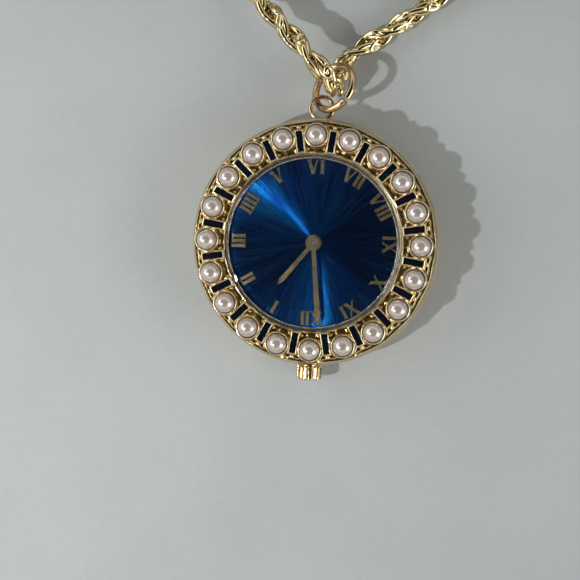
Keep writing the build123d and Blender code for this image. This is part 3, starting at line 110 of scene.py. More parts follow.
# Radii and levels that finishes follow. The gallery outside the pearls falls by its slope from its start
seat_edge = mm(10.36)
seat_blur = mm(0.02)
crown_z = mm(2.25)
crown_radius = mm(1.5)
deck = mm(6.35)
gallery_start = mm(13.70)
gallery_slope = 2.45
pearl_seat = mm(6.85)
pearl_shoulder = mm(7.5)

# Rays brushed into the dial: their widths as shares of the radius, their change along it per metre, and
# their depth. The dial's fall outwards bends their glints
fine_ray = 1 / 60
broad_ray = 1 / 5
ray_change = 4.0
ray_depth = mm(0.006)
dial_fall = 0.041

# The two tones of gold that the case shares with the plainer gold pieces
pale_gold = (0.82, 0.67, 0.41)
deep_gold = (0.64, 0.49, 0.26)


def set_stops(ramp, stops):
    """Gives a colour ramp its (position, colour) stops."""
    while len(ramp.elements) < len(stops):
        ramp.elements.new(0.5)
    for element, (position, colour) in zip(ramp.elements, stops):
        element.position = position
        element.color = (*colour, 1)


class Shade:
    """A material's node tree, with short calls that add and link its nodes."""

    def __init__(self, name):
        self.material = bpy.data.materials.new(name)
        self.material.use_nodes = True
        self.tree = self.material.node_tree
        self.shader = self.tree.nodes["Principled BSDF"]
        self.place = self.add("ShaderNodeTexCoord").outputs["Object"]

    def add(self, kind, inputs=(), **settings):
        """A new node with its settings, and its inputs set or linked."""
        node = self.tree.nodes.new(kind)
        for key, value in settings.items():
            setattr(node, key, value)
        for key, value in dict(inputs).items():
            self.feed(node.inputs[key], value)
        return node

    def feed(self, socket, value):
        """Sets a socket, or links it if the value is another node's output."""
        if isinstance(value, bpy.types.NodeSocket):
            self.tree.links.new(value, socket)
        else:
            socket.default_value = value

    def set(self, **values):
        """Sets or links the shader's own sockets, named with underscores for spaces."""
        for key, value in values.items():
            self.feed(self.shader.inputs[key.replace("_", " ")], value)

    def math(self, operation, *values):
        """One operation on numbers."""
        return self.add("ShaderNodeMath", enumerate(values), operation=operation).outputs[0]

    def vector(self, operation, *values):
        """One operation on vectors."""
        return self.add("ShaderNodeVectorMath", enumerate(values), operation=operation).outputs["Vector"]

    def length(self, vector):
        """A vector's length."""
        return self.add("ShaderNodeVectorMath", {0: vector}, operation="LENGTH").outputs["Value"]

    def radius(self):
        """The distance from the watch's axis."""
        return self.length(self.vector("MULTIPLY", self.place, (1, 1, 0)))

    def height(self):
        """The height above the table, in the frame."""
        return self.add("ShaderNodeSeparateXYZ", {0: self.place}).outputs["Z"]

    def noise(self, size, detail=2.0, vector=None):
        """Soft noise whose patches are about size across."""
        inputs = {"Vector": vector or self.place, "Scale": 1 / size, "Detail": detail}
        return self.add("ShaderNodeTexNoise", inputs).outputs["Fac"]

    def stretched(self, scale, turn=(0.0, 0.0, 0.0)):
        """The surface's coordinates, scaled apart in each direction, for brushed or scratched finishes."""
        inputs = {"Vector": self.place, "Scale": scale, "Rotation": turn}
        return self.add("ShaderNodeMapping", inputs).outputs[0]

    def ramp(self, factor, *stops):
        """A colour ramp through (position, colour) stops."""
        node = self.add("ShaderNodeValToRGB", {"Fac": factor})
        set_stops(node.color_ramp, stops)
        return node.outputs["Color"]

    def span(self, factor, low, high, start=0.0, end=1.0):
        """A value that runs from low to high while the factor runs from start to end."""
        inputs = {"Value": factor, "From Min": start, "From Max": end, "To Min": low, "To Max": high}
        return self.add("ShaderNodeMapRange", inputs).outputs["Result"]

    def mix(self, factor, first, second, blend="MIX"):
        """Two colours mixed."""
        node = self.add("ShaderNodeMix", data_type="RGBA", blend_type=blend)
        self.feed(node.inputs[0], factor)
        self.feed(node.inputs[6], first)
        self.feed(node.inputs[7], second)
        return node.outputs[2]

    def bump(self, height, depth, normal=None):
        """Bumps of a real depth, over an earlier bump if one is given."""
        inputs = {"Height": height, "Strength": 1.0, "Distance": depth}
        if normal is not None:
            inputs["Normal"] = normal
        output = self.add("ShaderNodeBump", inputs).outputs["Normal"]
        self.tree.links.new(output, self.shader.inputs["Normal"])
        return output


def metal_material(name, pale, deep, gloss, patch, waves, scratches):
    """A metal in two close tones, with uneven gloss, soft waves and fine scratches."""
    shade = Shade(name)
    tint = shade.ramp(shade.noise(patch, detail=4.0), (0.3, deep), (0.7, pale))
    uneven = shade.noise(2.5 * patch, detail=6.0)
    shade.set(Base_Color=tint, Metallic=1.0, Roughness=shade.span(uneven, *gloss))
    normal = shade.bump(shade.noise(patch, detail=1.0), waves) if waves else None
    drawn = shade.stretched(scale=(1.0, 14.0, 6.0), turn=(0.3, 0.2, 0.7))
    shade.bump(shade.noise(0.7 * patch, detail=3.0, vector=drawn), scratches, normal)
    return shade.material


def nickel_material():
    """Nickel brushed in straight lines along X."""
    shade = Shade("nickel")
    lines = shade.noise(mm(0.12), detail=3.0, vector=shade.stretched(scale=(0.04, 1.0, 1.0)))
    tint = shade.ramp(lines, (0.25, (0.60, 0.58, 0.53)), (0.75, (0.76, 0.74, 0.68)))
    shade.set(Base_Color=tint, Metallic=1.0, Roughness=shade.span(lines, 0.2, 0.36))
    shade.bump(lines, mm(0.004))
    return shade.material


def case_gold_material():
    """The case's gold, with a dark, dull line where the crystal is seated: old cement with painted shade under the
    crystal's edge.
    """
    shade = Shade("case_gold")
    tint = shade.ramp(shade.noise(mm(1.6), detail=4.0), (0.3, deep_gold), (0.7, pale_gold))
    # Painted shade: the line under the crystal's edge is dark and not metallic, standing for cement and the shade
    # it lies in
    cement_and_shade = shade.span(shade.radius(), 1.0, 0.0, start=seat_edge - seat_blur, end=seat_edge)
    shade.set(Base_Color=shade.mix(cement_and_shade, tint, (0.05, 0.03, 0.015, 1)))
    shade.set(Metallic=shade.span(cement_and_shade, 1.0, 0.0))
    shade.set(Roughness=shade.span(shade.noise(mm(4), detail=6.0), 0.08, 0.2))
    shade.bump(shade.noise(mm(1.6), detail=1.0), mm(0.05))
    return shade.material


def crown_gold_material():
    """The crown's gold, with painted shade dark down in its flutes and a painted highlight pale out on its crests.
    """
    shade = Shade("crown_gold")
    from_stem = shade.vector("SUBTRACT", shade.place, (0, 0, crown_z))
    radius = shade.length(shade.vector("MULTIPLY", from_stem, (1, 0, 1)))
    outwards = shade.span(radius, 0.0, 1.0, start=crown_radius - mm(0.30), end=crown_radius - mm(0.03))
    # Painted shade at the flutes' bottoms and a painted highlight on the crests, by distance from the stem
    tint = shade.ramp(
        outwards,
        (0.0, (0.72, 0.58, 0.33)),
        (0.3, (0.62, 0.48, 0.25)),
        (0.46, (0.16, 0.09, 0.03)),
        (0.8, (0.62, 0.48, 0.25)),
        (1.0, (0.88, 0.76, 0.50)),
    )
    shade.set(Base_Color=tint, Metallic=1.0, Roughness=shade.span(shade.noise(mm(1), detail=4.0), 0.1, 0.24))
    shade.bump(shade.noise(mm(0.6)), mm(0.02))
    return shade.material


def cast_gold_material():
    """The casting's gold, with painted light and shade by height: pale on its ridges, brown in its hollows."""
    shade = Shade("cast_gold")
    radius = shade.radius()
    past = shade.math("MAXIMUM", shade.math("SUBTRACT", radius, gallery_start), 0.0)
    level = shade.math("ADD", shade.height(), shade.math("MULTIPLY", past, gallery_slope))
    patchy = shade.math("ADD", level, shade.span(shade.noise(mm(0.5), detail=3.0), mm(-0.12), mm(0.12)))
    # Painted light and shade: brown low in the hollows and pale high on the ridges, by height, with the gallery's
    # fall outside the pearls taken out
    tint = shade.ramp(
        shade.span(patchy, 0.0, 1.0, start=deck - mm(0.35), end=deck + mm(0.5)),
        (0.0, (0.60, 0.43, 0.19)),
        (0.35, (0.74, 0.56, 0.28)),
        (0.7, (0.89, 0.74, 0.44)),
        (1.0, (0.95, 0.84, 0.58)),
    )
    # Painted shade: the same dark line of cement and the shade under the crystal's edge
    seat = shade.span(radius, 1.0, 0.0, start=seat_edge - seat_blur, end=seat_edge)
    uneven = shade.noise(mm(0.8), detail=4.0)
    shade.set(Base_Color=shade.mix(seat, tint, (0.10, 0.06, 0.03, 1)), Metallic=1.0)
    shade.set(Roughness=shade.span(uneven, 0.10, 0.26))
    shade.bump(shade.noise(mm(0.35), detail=3.0), mm(0.03))
    return shade.material


def pearl_material():
    """Pearl lacquer: a pinkish cream, greenish in patches, under a clear soft gloss, and brown low at its seat:
    dirt with painted shade and a painted reflection of the gold cup.
    """
    shade = Shade("pearl")
    tint = shade.ramp(
        shade.noise(mm(1.5), detail=1.0),
        (0.35, (0.35, 0.31, 0.24)),
        (0.5, (0.38, 0.30, 0.25)),
        (0.65, (0.39, 0.29, 0.26)),
    )
    # Painted shade and a painted reflection of the gold cup, with dirt: brown at the pearl's seat, fading by its
    # shoulder
    rim = shade.span(shade.height(), 1.0, 0.0, start=pearl_seat, end=pearl_shoulder)
    shade.set(Base_Color=shade.mix(rim, tint, (0.27, 0.17, 0.09, 1)))
    shade.set(Roughness=0.34, Specular_IOR_Level=0.8, Coat_Weight=1.0, Coat_Roughness=0.17, Coat_IOR=2.8)
    shade.set(Sheen_Weight=0.15, Sheen_Roughness=0.4)
    shade.bump(shade.noise(mm(0.6)), mm(0.008))
    return shade.material


def enamel_material():
    """Dark glass enamel, fired a little uneven, black with blue, green and violet depths."""
    shade = Shade("enamel")
    tint = shade.ramp(
        shade.noise(mm(3.0)),
        (0.3, (0.003, 0.010, 0.012)),
        (0.5, (0.002, 0.004, 0.008)),
        (0.7, (0.010, 0.004, 0.014)),
    )
    shade.set(Base_Color=tint, Roughness=shade.span(shade.noise(mm(0.4), detail=4.0), 0.08, 0.22))
    shade.bump(shade.noise(mm(0.4), detail=3.0), mm(0.025))
    return shade.material


def acrylic_material():
    """Clear acrylic with faint hairline scratches. Lamps shine through it to the dial."""
    shade = Shade("acrylic")
    drawn = shade.stretched(scale=(1.0, 12.0, 1.0), turn=(0.0, 0.0, 0.6))
    hairlines = shade.noise(mm(0.8), detail=5.0, vector=drawn)
    shade.set(Base_Color=(0.92, 0.93, 0.93, 1), Transmission_Weight=1.0, IOR=1.45)
    shade.set(Roughness=shade.span(hairlines, 0.0, 0.05, start=0.55, end=0.9))
    lamp_ray = shade.add("ShaderNodeLightPath").outputs["Is Shadow Ray"]
    clear = shade.add("ShaderNodeBsdfTransparent", {"Color": (0.95, 0.96, 0.96, 1)}).outputs[0]
    both = shade.add("ShaderNodeMixShader", {0: lamp_ray, 1: shade.shader.outputs[0], 2: clear}).outputs[0]
    shade.feed(shade.tree.nodes["Material Output"].inputs["Surface"], both)
    return shade.material


def dial_material():
    """Blue metallic lacquer over rays brushed from the centre outwards."""
    shade = Shade("dial_blue")
    radius = shade.radius()
    axes = shade.add("ShaderNodeSeparateXYZ", {0: shade.place})
    angle = shade.math("ARCTAN2", axes.outputs["Y"], axes.outputs["X"])
    round_dial = {
        0: shade.math("COSINE", angle),
        1: shade.math("SINE", angle),
        2: shade.math("MULTIPLY", radius, ray_change),
    }
    wheel = shade.add("ShaderNodeCombineXYZ", round_dial).outputs[0]
    rays = shade.noise(fine_ray, detail=3.0, vector=wheel)
    broad = shade.noise(broad_ray, vector=wheel)
    blue = shade.ramp(rays, (0.35, (0.0008, 0.019, 0.24)), (0.65, (0.009, 0.21, 0.53)))
    deep = shade.ramp(broad, (0.35, (0.60, 0.62, 0.72)), (0.65, (1.0, 1.0, 1.0)))
    shade.set(Base_Color=shade.mix(1.0, blue, deep, "MULTIPLY"), Metallic=1.0)
    shade.set(Roughness=shade.span(rays, 0.165, 0.20), Anisotropic=1.0)
    shade.set(Tangent=shade.add("ShaderNodeTangent", direction_type="RADIAL", axis="Z").outputs[0])
    sloping = shade.bump(shade.math("MULTIPLY", radius, -1.0), dial_fall)
    shade.bump(rays, ray_depth, sloping)
    return shade.material


def ruby_material():
    """Clear red synthetic ruby."""
    shade = Shade("ruby")
    tint = shade.ramp(shade.noise(mm(0.3)), (0.3, (0.42, 0.01, 0.06)), (0.7, (0.62, 0.03, 0.12)))
    shade.set(Base_Color=tint, Roughness=0.08, Coat_Weight=0.6, Coat_Roughness=0.05)
    return shade.material


def floor_material():
    """A pale grey table top with faint cloudy marks."""
    shade = Shade("table_top")
    grain = shade.noise(mm(0.9), detail=3.0)
    marks = shade.noise(mm(24), detail=5.0)
    cloud = shade.ramp(marks, (0.3, (0.385, 0.415, 0.408)), (0.7, (0.435, 0.46, 0.452)))
    speckle = shade.ramp(grain, (0.3, (0.38, 0.38, 0.38)), (0.7, (0.48, 0.48, 0.48)))
    shade.set(Base_Color=shade.mix(0.15, cloud, speckle), Roughness=0.55, Specular_IOR_Level=0.3)
    shade.bump(grain, mm(0.03))
    return shade.material


# Plain metals: pale and deep tone, range of roughness, size of patches, and depth of waves and of scratches
plain_metals = {
    "gold": (pale_gold, deep_gold, (0.08, 0.20), mm(1.6), mm(0.05), mm(0.002)),
    # ring_gold, for the pendant loop and the jump ring, is the gold darker and redder: a redder tone with painted
    # shade
    "ring_gold": ((0.62, 0.45, 0.26), (0.40, 0.27, 0.14), (0.08, 0.20), mm(1.6), mm(0.05), mm(0.002)),
    "chain_gold": ((0.78, 0.66, 0.39), (0.55, 0.44, 0.21), (0.08, 0.16), mm(1.2), mm(0.02), mm(0.001)),
    "numeral_gilt": ((0.72, 0.58, 0.32), (0.58, 0.45, 0.23), (0.16, 0.30), mm(0.7), 0.0, mm(0.002)),
    "gear_brass": ((0.82, 0.66, 0.32), (0.72, 0.56, 0.25), (0.20, 0.34), mm(1.0), 0.0, mm(0.004)),
    "steel": ((0.66, 0.67, 0.69), (0.52, 0.53, 0.56), (0.14, 0.26), mm(0.8), 0.0, mm(0.002)),
    "blue_steel": ((0.10, 0.17, 0.50), (0.05, 0.08, 0.32), (0.15, 0.25), mm(0.6), 0.0, mm(0.001)),
}

# Every finish by name. The record's material slots have the same names
finishes = {name: metal_material(name, *values) for name, values in plain_metals.items()} | {
    "case_gold": case_gold_material(),
    "crown_gold": crown_gold_material(),
    "cast_gold": cast_gold_material(),
    "nickel": nickel_material(),
    "pearl": pearl_material(),
    "enamel": enamel_material(),
    "acrylic": acrylic_material(),
    "dial_blue": dial_material(),
    "ruby": ruby_material(),
}
finish_of_node = {"case_body": "case_gold", "crown": "crown_gold", "pendant_loop": "ring_gold"}


def dress_frame():
    """Gives every CAD node its own finish, or that of its material slot in the record."""
    for part in frame["record"]["subparts"]:
        piece = nodes[part["node"]]
        finish = finishes[finish_of_node.get(part["node"], part["material_slot"])]
        if not piece.material_slots:
            piece.data.materials.append(finish)
        for place in piece.material_slots:
            place.material = finish


def mesh_object(name, vertices, faces, finish):
    """A smooth mesh object with one material."""
    mesh = bpy.data.meshes.new(name)
    mesh.from_pydata([tuple(v) for v in vertices], [], [tuple(f) for f in faces])
    mesh.polygons.foreach_set("use_smooth", [True] * len(mesh.polygons))
    mesh.materials.append(finish)
    mesh.update()
    piece = bpy.data.objects.new(name, mesh)
    bpy.context.scene.collection.objects.link(piece)
    return piece


dress_frame()


# Chain: two strands of one rope necklace. Their routes repeat the source's points, in millimetres, with
# x and y counted from the jump ring's centre and z from the table
chain_diameter = mm(2.5)
ring_centre = Vector(joints["ring_turn"]["pos_m"])
left_steps = (
    (0.046, 0.094, 3.7), (0.046, 0.094, 4.35), (-0.374, 0.584, 5.46), (-1.094, 1.424, 6.1),
    (-2.784, 3.194, 6.15), (-5.584, 6.094, 5.1), (-8.884, 9.294, 3.5), (-12.084, 13.494, 2.0),
    (-14.584, 18.494, 1.3), (-16.084, 23.694, 1.25), (-16.684, 29.094, 1.25), (-16.684, 34.094, 1.25),
)
right_steps = (
    (0.046, 0.094, 3.7), (0.046, 0.094, 3.05), (0.206, 0.714, 1.94), (0.486, 1.794, 1.3),
    (1.216, 3.894, 1.25), (4.316, 6.044, 1.25), (8.516, 8.994, 1.25), (13.116, 12.694, 1.5),
    (16.916, 17.294, 2.3), (19.216, 22.694, 3.3), (20.116, 28.394, 3.85), (20.116, 34.094, 3.85),
)
left_radii = (18.8, 17.325, 15.85, 14.375, 7.5)
right_radii = (18.0, 16.525, 15.05, 13.575, 10.0)
points_per_half_turn = 9
curve_resolution = 12
samples_per_point = 4


def route_of(steps):
    """A route's points, in metres in the frame."""
    return [Vector((ring_centre.x + mm(x), ring_centre.y + mm(y), mm(z))) for x, y, z in steps]


def coil_points(start, radii, inward):
    """More points of the same spline: half turns that start heading along +Y, then a short straight end."""
    points = []
    x, heading = start.x, 1
    step = math.pi / points_per_half_turn
    for radius in (mm(r) for r in radii):
        centre = x + radius * inward * heading
        reach = radius / math.cos(step / 2)
        for k in range(points_per_half_turn):
            angle = (k + 0.5) * step
            across = -inward * heading * reach * math.cos(angle)
            points.append(Vector((centre + across, start.y + heading * reach * math.sin(angle), start.z)))
        x += 2 * radius * inward * heading
        heading = -heading
    points.append(Vector((x, start.y + heading * chain_diameter, start.z)))
    return points


def spline_line(name, points):
    """The line of a NURBS spline with these control points, as points close together."""
    curve = bpy.data.curves.new(name, "CURVE")
    curve.dimensions = "3D"
    curve.resolution_u = curve_resolution
    spline = curve.splines.new("NURBS")
    spline.points.add(len(points) - 1)
    for control, point in zip(spline.points, points):
        control.co = (*point, 1)
    spline.order_u = 3
    spline.use_endpoint_u = True
    holder = bpy.data.objects.new(name, curve)
    line = bpy.data.meshes.new_from_object(holder)
    found = np.array([v.co for v in line.vertices])
    bpy.data.objects.remove(holder)
    bpy.data.curves.remove(curve)
    bpy.data.meshes.remove(line)
    return found


def steady_frames(line, spacing):
    """Places at even distances along a line, each with its direction and two sides that never spin."""
    runs = np.linalg.norm(np.diff(line, axis=0), axis=1)
    along = np.concatenate([[0], np.cumsum(runs)])
    fine = np.linspace(0, along[-1], samples_per_point * len(line))
    points = np.stack([np.interp(fine, along, line[:, i]) for i in range(3)], axis=1)
    ways = np.gradient(points, axis=0)
    ways /= np.linalg.norm(ways, axis=1)[:, None]
    side = Vector(ways[0]).orthogonal().normalized()
    sides = []
    for before, after in zip(np.vstack([ways[:1], ways[:-1]]), ways):
        side = Vector(before).rotation_difference(Vector(after)) @ side
        sides.append(side[:])
    places = np.arange(spacing / 2, along[-1], spacing)
    point, way, side = (
        np.stack([np.interp(places, fine, values[:, i]) for i in range(3)], axis=1)
        for values in (points, ways, np.array(sides))
    )
    way /= np.linalg.norm(way, axis=1)[:, None]
    side -= way * np.sum(side * way, axis=1)[:, None]
    side /= np.linalg.norm(side, axis=1)[:, None]
    return places, point, way, side, np.cross(way, side)


# Links: long flat loops of wire, in two plies that stand off the line and turn round it
link_spacing = mm(0.68)
link_half_length = mm(1.40)
link_half_width = mm(0.47)
link_wire_radius = mm(0.37)
link_stand_off = mm(0.48)
link_lean_degrees = 25.0
link_roll_degrees = 20.0
link_cross_degrees = 65.0
link_jitter_degrees = 4.0
twist_pitch = mm(8.8)
link_steps = 20
wire_sides = 8


def rope_links(name, line, start_turn, seed):
    """The rope chain along a line: two plies of long links, leaning and rolled over one another."""
    places, point, way, side, other = steady_frames(line, link_spacing)
    count = len(places)
    number = np.arange(count)
    draw = np.random.default_rng(seed)
    jitter = np.radians(link_jitter_degrees) * draw.uniform(-1, 1, (2, count))
    turn = start_turn + 2 * np.pi * places / twist_pitch + np.pi * (number % 2)
    out = np.cos(turn)[:, None] * side + np.sin(turn)[:, None] * other
    around_line = np.cross(way, out)
    lean = np.radians(link_lean_degrees) + jitter[0]
    roll = np.radians(link_roll_degrees + link_cross_degrees * (number // 2 % 2)) + jitter[1]
    long_way = np.cos(lean)[:, None] * way + np.sin(lean)[:, None] * around_line
    wide_way = np.cos(roll)[:, None] * out + np.sin(roll)[:, None] * np.cross(long_way, out)
    flat_way = np.cross(long_way, wide_way)
    centre = point + link_stand_off * out
    ring = 2 * np.pi * np.arange(link_steps) / link_steps
    wire = 2 * np.pi * np.arange(wire_sides) / wire_sides
    cos_ring, sin_ring = np.cos(ring)[None, :, None], np.sin(ring)[None, :, None]
    cos_wire, sin_wire = np.cos(wire)[None, None, :, None], np.sin(wire)[None, None, :, None]
    long_way, wide_way = long_way[:, None], wide_way[:, None]
    middle = link_half_length * cos_ring * long_way + link_half_width * sin_ring * wide_way
    outward = link_half_width * cos_ring * long_way + link_half_length * sin_ring * wide_way
    outward /= np.linalg.norm(outward, axis=2)[:, :, None]
    around = cos_wire * outward[:, :, None] + sin_wire * flat_way[:, None, None]
    vertices = centre[:, None, None] + middle[:, :, None] + link_wire_radius * around
    k, i, j = np.meshgrid(number, np.arange(link_steps), np.arange(wire_sides), indexing="ij")

    def at(i, j):
        return (k * link_steps + i % link_steps) * wire_sides + j % wire_sides

    faces = np.stack([at(i, j), at(i + 1, j), at(i + 1, j + 1), at(i, j + 1)], axis=-1)
    vertices, faces = vertices.reshape(-1, 3).tolist(), faces.reshape(-1, 4).tolist()
    return mesh_object(name, vertices, faces, finishes["chain_gold"])


def lay_chain(name, steps, radii, inward, start_turn, seed, stands_for):
    """One strand of the chain: its links, on the necklace's body, in place of the CAD pieces that stand for it."""
    route = route_of(steps)
    line = spline_line(name, route + coil_points(route[-1], radii, inward))
    strand = rope_links(name, line, start_turn, seed)
    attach(strand, "necklace")
    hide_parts(*stands_for)


lay_chain("chain_left", left_steps, left_radii, inward=1,
          start_turn=0.0, seed=3,
          stands_for=("chain_left_run", "chain_left_coil"))
lay_chain("chain_right", right_steps, right_radii, inward=-1,
          start_turn=1.2, seed=5,
          stands_for=("chain_right_run", "chain_right_coil"))


# Jump ring: round wire, cut through once, its two ends a little out of line
ring_radius = mm(2.78)
ring_wire_radius = mm(0.43)
ring_out = Vector((0.4617, 0.8870, 0.0))
ring_cut_degrees = 101.0
ring_gap_degrees = 7.0
ring_offset = mm(0.04)
ring_steps = 96
ring_sides = 20


def make_jump_ring():
    """The open ring, with flat cut ends."""
    normal = Vector(joints["ring_turn"]["axis"])
    out = (ring_out - normal * ring_out.dot(normal)).normalized()
    along = normal.cross(out)
    start = math.radians(ring_cut_degrees + ring_gap_degrees / 2)
    reach = math.radians(360 - ring_gap_degrees)
    vertices, faces = [], []
    for i in range(ring_steps + 1):
        share = i / ring_steps
        angle = start + reach * share
        outward = out * math.cos(angle) + along * math.sin(angle)
        centre = ring_centre + outward * ring_radius + normal * ring_offset * (share - 0.5)
        for j in range(ring_sides):
            turn = 2 * math.pi * j / ring_sides
            vertices.append(centre + (outward * math.cos(turn) + normal * math.sin(turn)) * ring_wire_radius)
    for i in range(ring_steps):
        for j in range(ring_sides):
            k = (j + 1) % ring_sides
            row, after = i * ring_sides, (i + 1) * ring_sides
            faces.append((row + j, row + k, after + k, after + j))
    last = ring_steps * ring_sides
    faces.append(tuple(range(ring_sides)))
    faces.append(tuple(reversed(range(last, last + ring_sides))))
    ring = mesh_object("jump_ring_open", vertices, faces, finishes["ring_gold"])
    for cut_end in ring.data.polygons[-2:]:
        cut_end.use_smooth = False
    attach(ring, "jump_ring")
    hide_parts("jump_ring")


make_jump_ring()


# Bezel: one casting of pearl cups, enamel frames, beads and grains, as a height over a ring
pearl_count = 20
bezel_turn_degrees = 1.3
bezel_inner = mm(10.33)
bezel_outer = mm(14.42)
bezel_foot = mm(5.76)
shoulder_radius = mm(13.72)
shoulder_foot = mm(4.1)
pearl_circle = mm(12.527)
recess_depth = mm(0.26)
rim_middle = mm(10.42)
rim_half_width = mm(0.08)
rim_height = mm(0.22)
edge_middle = mm(14.20)
edge_swing = mm(0.05)
edge_half_width = mm(0.08)
edge_rise = mm(0.36)
edge_foot = mm(0.14)
cup_seat = mm(1.215)
cup_crest = mm(1.30)
cup_crest_half = mm(0.07)
cup_height = mm(0.56)
cup_foot = mm(1.60)
frame_half_width = mm(0.43)
frame_inner_end = mm(10.62)
frame_outer_end = mm(13.13)
frame_crest_half = mm(0.06)
frame_height = mm(0.62)
frame_foot = mm(0.16)
bead_circle = mm(13.50)
bead_radius = mm(0.22)
bead_rise = mm(0.12)
bezel_rings = 96
steps_per_pearl = 84
bezel_steps = pearl_count * steps_per_pearl

# Grains on each side of a pearl: circle in mm, degrees from the pearl, radius in mm and rise in mm
grains = ((10.98, 5.3, 0.16, 0.02), (11.35, 6.6, 0.11, 0.0))

# Unevenness left by casting: its depth, its pebbles, and its waves. Each has its turns round the bezel, its
# radians per metre outwards and its phase
wander = mm(0.035)
pebbles = (60, 4200, 2)
waves = ((7, 1900, 0), (13, -2700, 1))
cup_wander_share = 0.4
crest_roundness = 0.35
far_below = -1.0


def crest(distance, half_width, height, foot, low):
    """A rounded ridge: its height by the distance from its line, down to a low level at its foot."""
    top = height - (distance / half_width) ** 2 * half_width * crest_roundness
    fall = (distance - half_width) / (foot - half_width)
    side = (height - half_width * crest_roundness) + (low - height) * np.clip(fall, 0, 1)
    return np.where(distance < half_width, top, side)


def bead(distance, radius, rise):
    """A round bead, which stands on its own radius."""
    ball = rise + np.sqrt(np.clip(radius**2 - distance**2, 0, None))
    return np.where(distance < radius, ball, far_below)


def casting_height(radius, angle):
    """The casting's surface above its deck, by distance from the middle and angle from a pearl."""
    low = -recess_depth - gallery_slope * np.clip(radius - gallery_start, 0, None)
    turns, outwards, phase = pebbles
    pebbled = wander * np.sin(outwards * radius) * np.sin(turns * angle + phase)
    wave = wander * sum(np.sin(t * angle + o * radius + p) for t, o, p in waves) / len(waves)
    step = 2 * math.pi / pearl_count
    near_pearl = (angle + step / 2) % step - step / 2
    near_bar = angle % step - step / 2
    pearl_x, pearl_y = radius * np.cos(near_pearl), radius * np.sin(near_pearl)
    bar_x, bar_y = radius * np.cos(near_bar), abs(radius * np.sin(near_bar))

    height = low + pebbled
    rim = crest(abs(radius - rim_middle), rim_half_width, rim_height, 2 * rim_half_width, low)
    height = np.maximum(height, rim)
    from_edge = radius - edge_middle - edge_swing * np.cos(pearl_count * angle)
    height = np.maximum(height, crest(abs(from_edge), edge_half_width, low + edge_rise, edge_foot, low))
    away = np.hypot(pearl_x - pearl_circle, pearl_y) + cup_wander_share * wave
    cup = crest(abs(away - cup_crest), cup_crest_half, cup_height, cup_foot - cup_crest, low)
    height = np.maximum(height, cup + wave)
    past = np.maximum(bar_y - frame_half_width, np.maximum(bar_x - frame_outer_end, frame_inner_end - bar_x))
    height = np.maximum(height, crest(abs(past), frame_crest_half, frame_height, frame_foot, low) + wave)
    height = np.where(past < -frame_crest_half, 0.0, height)
    height = np.maximum(height, bead(np.hypot(bar_x - bead_circle, bar_y), bead_radius, bead_rise) + wave)
    for circle, degrees, size, rise in grains:
        for side in (-1, 1):
            at = math.radians(degrees * side)
            gap = np.hypot(pearl_x - mm(circle) * math.cos(at), pearl_y - mm(circle) * math.sin(at))
            height = np.maximum(height, bead(gap, mm(size), mm(rise)) + wave)
    return np.where(away < cup_seat, low, height)


def make_bezel():
    """The casting as one closed mesh: its front, its outer and inner walls and its foot."""
    turn = math.pi / 2 + math.radians(bezel_turn_degrees)
    angle = 2 * np.pi * np.arange(bezel_steps) / bezel_steps
    radius = np.linspace(bezel_inner, bezel_outer, bezel_rings + 1)
    radii, angles = np.meshgrid(radius, angle, indexing="ij")
    heights = deck + casting_height(radii, angles)
    row = np.ones((1, bezel_steps))
    heights = np.vstack([bezel_foot * row, heights, shoulder_foot * row, bezel_foot * row])
    radii = np.vstack([bezel_inner * row, radii, bezel_outer * row, shoulder_radius * row])
    angles = np.vstack([angles[:1], angles, angles[-2:]]) + turn
    vertices = np.stack([radii * np.cos(angles), radii * np.sin(angles), heights], axis=-1)
    rings = len(radii)
    i, j = np.meshgrid(np.arange(rings), np.arange(bezel_steps), indexing="ij")
    before, after, beside = i * bezel_steps, (i + 1) % rings * bezel_steps, (j + 1) % bezel_steps
    faces = np.stack([before + j, after + j, after + beside, before + beside], axis=-1)
    vertices, faces = vertices.reshape(-1, 3).tolist(), faces.reshape(-1, 4).tolist()
    casting = mesh_object("bezel_casting", vertices, faces, finishes["cast_gold"])
    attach(casting, "head")
    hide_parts("bezel")


make_bezel()


# Crystal: one clear wall, a low dome that turns down in a small round at its edge
crystal_low = mm(5.77)
crystal_turn = mm(7.45)
crystal_outer = mm(10.30)
crystal_wall = mm(0.45)
crystal_dome_radius = mm(45.0)
crystal_edge_radius = mm(0.62)
dome_points = 24
round_points = 14
crystal_steps = 288


def crystal_side(shrink):
    """One side of the wall, from the axis to the top of the skirt, at a distance inside the outer side."""
    reach = crystal_dome_radius - crystal_edge_radius
    turn_radius = crystal_outer - crystal_edge_radius
    dome_z = crystal_turn - math.sqrt(reach**2 - turn_radius**2)
    lean = math.asin(turn_radius / reach)
    dome = crystal_dome_radius - shrink
    edge = crystal_edge_radius - shrink
    side = []
    for k in range(dome_points):
        angle = lean * k / dome_points
        side.append((dome * math.sin(angle), dome_z + dome * math.cos(angle)))
    for k in range(round_points + 1):
        angle = lean + (math.pi / 2 - lean) * k / round_points
        side.append((turn_radius + edge * math.sin(angle), crystal_turn + edge * math.cos(angle)))
    return side


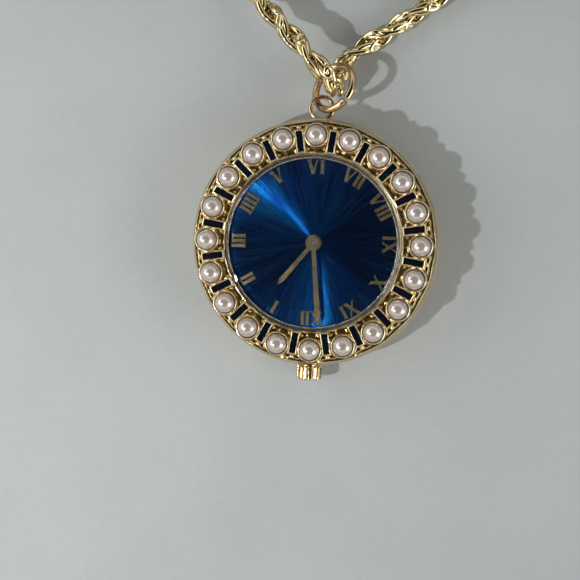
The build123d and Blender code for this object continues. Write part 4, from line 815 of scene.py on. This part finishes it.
def make_crystal():
    """The crystal as one closed mesh, turned round the watch's axis."""
    foot = [(crystal_outer, crystal_low), (crystal_outer - crystal_wall, crystal_low)]
    profile = crystal_side(0.0) + foot + crystal_side(crystal_wall)[::-1]
    rings = profile[1:-1]
    vertices = [(0, 0, profile[0][1])]
    for radius, z in rings:
        for k in range(crystal_steps):
            angle = 2 * math.pi * k / crystal_steps
            vertices.append((radius * math.cos(angle), radius * math.sin(angle), z))
    vertices.append((0, 0, profile[-1][1]))
    faces = []
    last = 1 + (len(rings) - 1) * crystal_steps
    for k in range(crystal_steps):
        beside = (k + 1) % crystal_steps
        faces.append((0, 1 + k, 1 + beside))
        faces.append((last + k, len(vertices) - 1, last + beside))
        for i in range(len(rings) - 1):
            row = 1 + i * crystal_steps
            after = row + crystal_steps
            faces.append((row + k, after + k, after + beside, row + beside))
    crystal = mesh_object("crystal_dome", vertices, faces, finishes["acrylic"])
    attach(crystal, "head")
    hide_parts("crystal")


make_crystal()


# Studio: a pale table, a room that is dark overhead and pale low down, and three lamps
floor_size = 3.0

# Lamps: azimuth and elevation in degrees, distance, size and power in watts
lamps = {
    "lamp_left": (174, 29, 0.60, (0.50, 0.30), 0.95),
    "lamp_key": (206, 53, 0.20, (0.006, 0.006), 0.18),
    "lamp_right": (342, 21, 0.60, (0.38, 0.40), 1.75),
}

# Room: its grey by the sine of the height, from the horizon at 0 to straight above at 1
room_greys = ((0.0, 0.2), (0.16, 0.3), (0.34, 1.0), (0.58, 0.95), (0.7, 0.35), (0.78, 0.05), (1.0, 0.02))


def make_floor():
    """The table top that the watch lies on."""
    half = floor_size / 2
    corners = [(-half, -half, 0), (half, -half, 0), (half, half, 0), (-half, half, 0)]
    floor = mesh_object("table_top", corners, [(0, 1, 2, 3)], floor_material())


def make_lamps():
    """The lamps, all aimed at the foot of the watch's axis."""
    for name, (azimuth, elevation, reach, size, power) in lamps.items():
        data = bpy.data.lights.new(name, "AREA")
        data.shape = "RECTANGLE"
        data.size, data.size_y = size
        data.energy = power
        lamp = bpy.data.objects.new(name, data)
        bpy.context.scene.collection.objects.link(lamp)
        flat = math.cos(math.radians(elevation))
        place = reach * Vector((
            flat * math.cos(math.radians(azimuth)),
            flat * math.sin(math.radians(azimuth)),
            math.sin(math.radians(elevation)),
        ))
        lamp.matrix_world = looking(place, Vector((0, 0, 0)), Vector((0, 0, 1)))


def make_world():
    """The room's light by height."""
    world = bpy.data.worlds.new("room")
    world.use_nodes = True
    tree = world.node_tree
    place = tree.nodes.new("ShaderNodeTexCoord")
    height = tree.nodes.new("ShaderNodeSeparateXYZ")
    greys = tree.nodes.new("ShaderNodeValToRGB")
    tree.links.new(place.outputs["Generated"], height.inputs[0])
    tree.links.new(height.outputs["Z"], greys.inputs["Fac"])
    tree.links.new(greys.outputs["Color"], tree.nodes["Background"].inputs["Color"])
    set_stops(greys.color_ramp, [(share, (grey, grey, grey)) for share, grey in room_greys])
    bpy.context.scene.world = world


make_floor()
make_lamps()
make_world()
bpy.context.scene.view_settings.view_transform = "Standard"
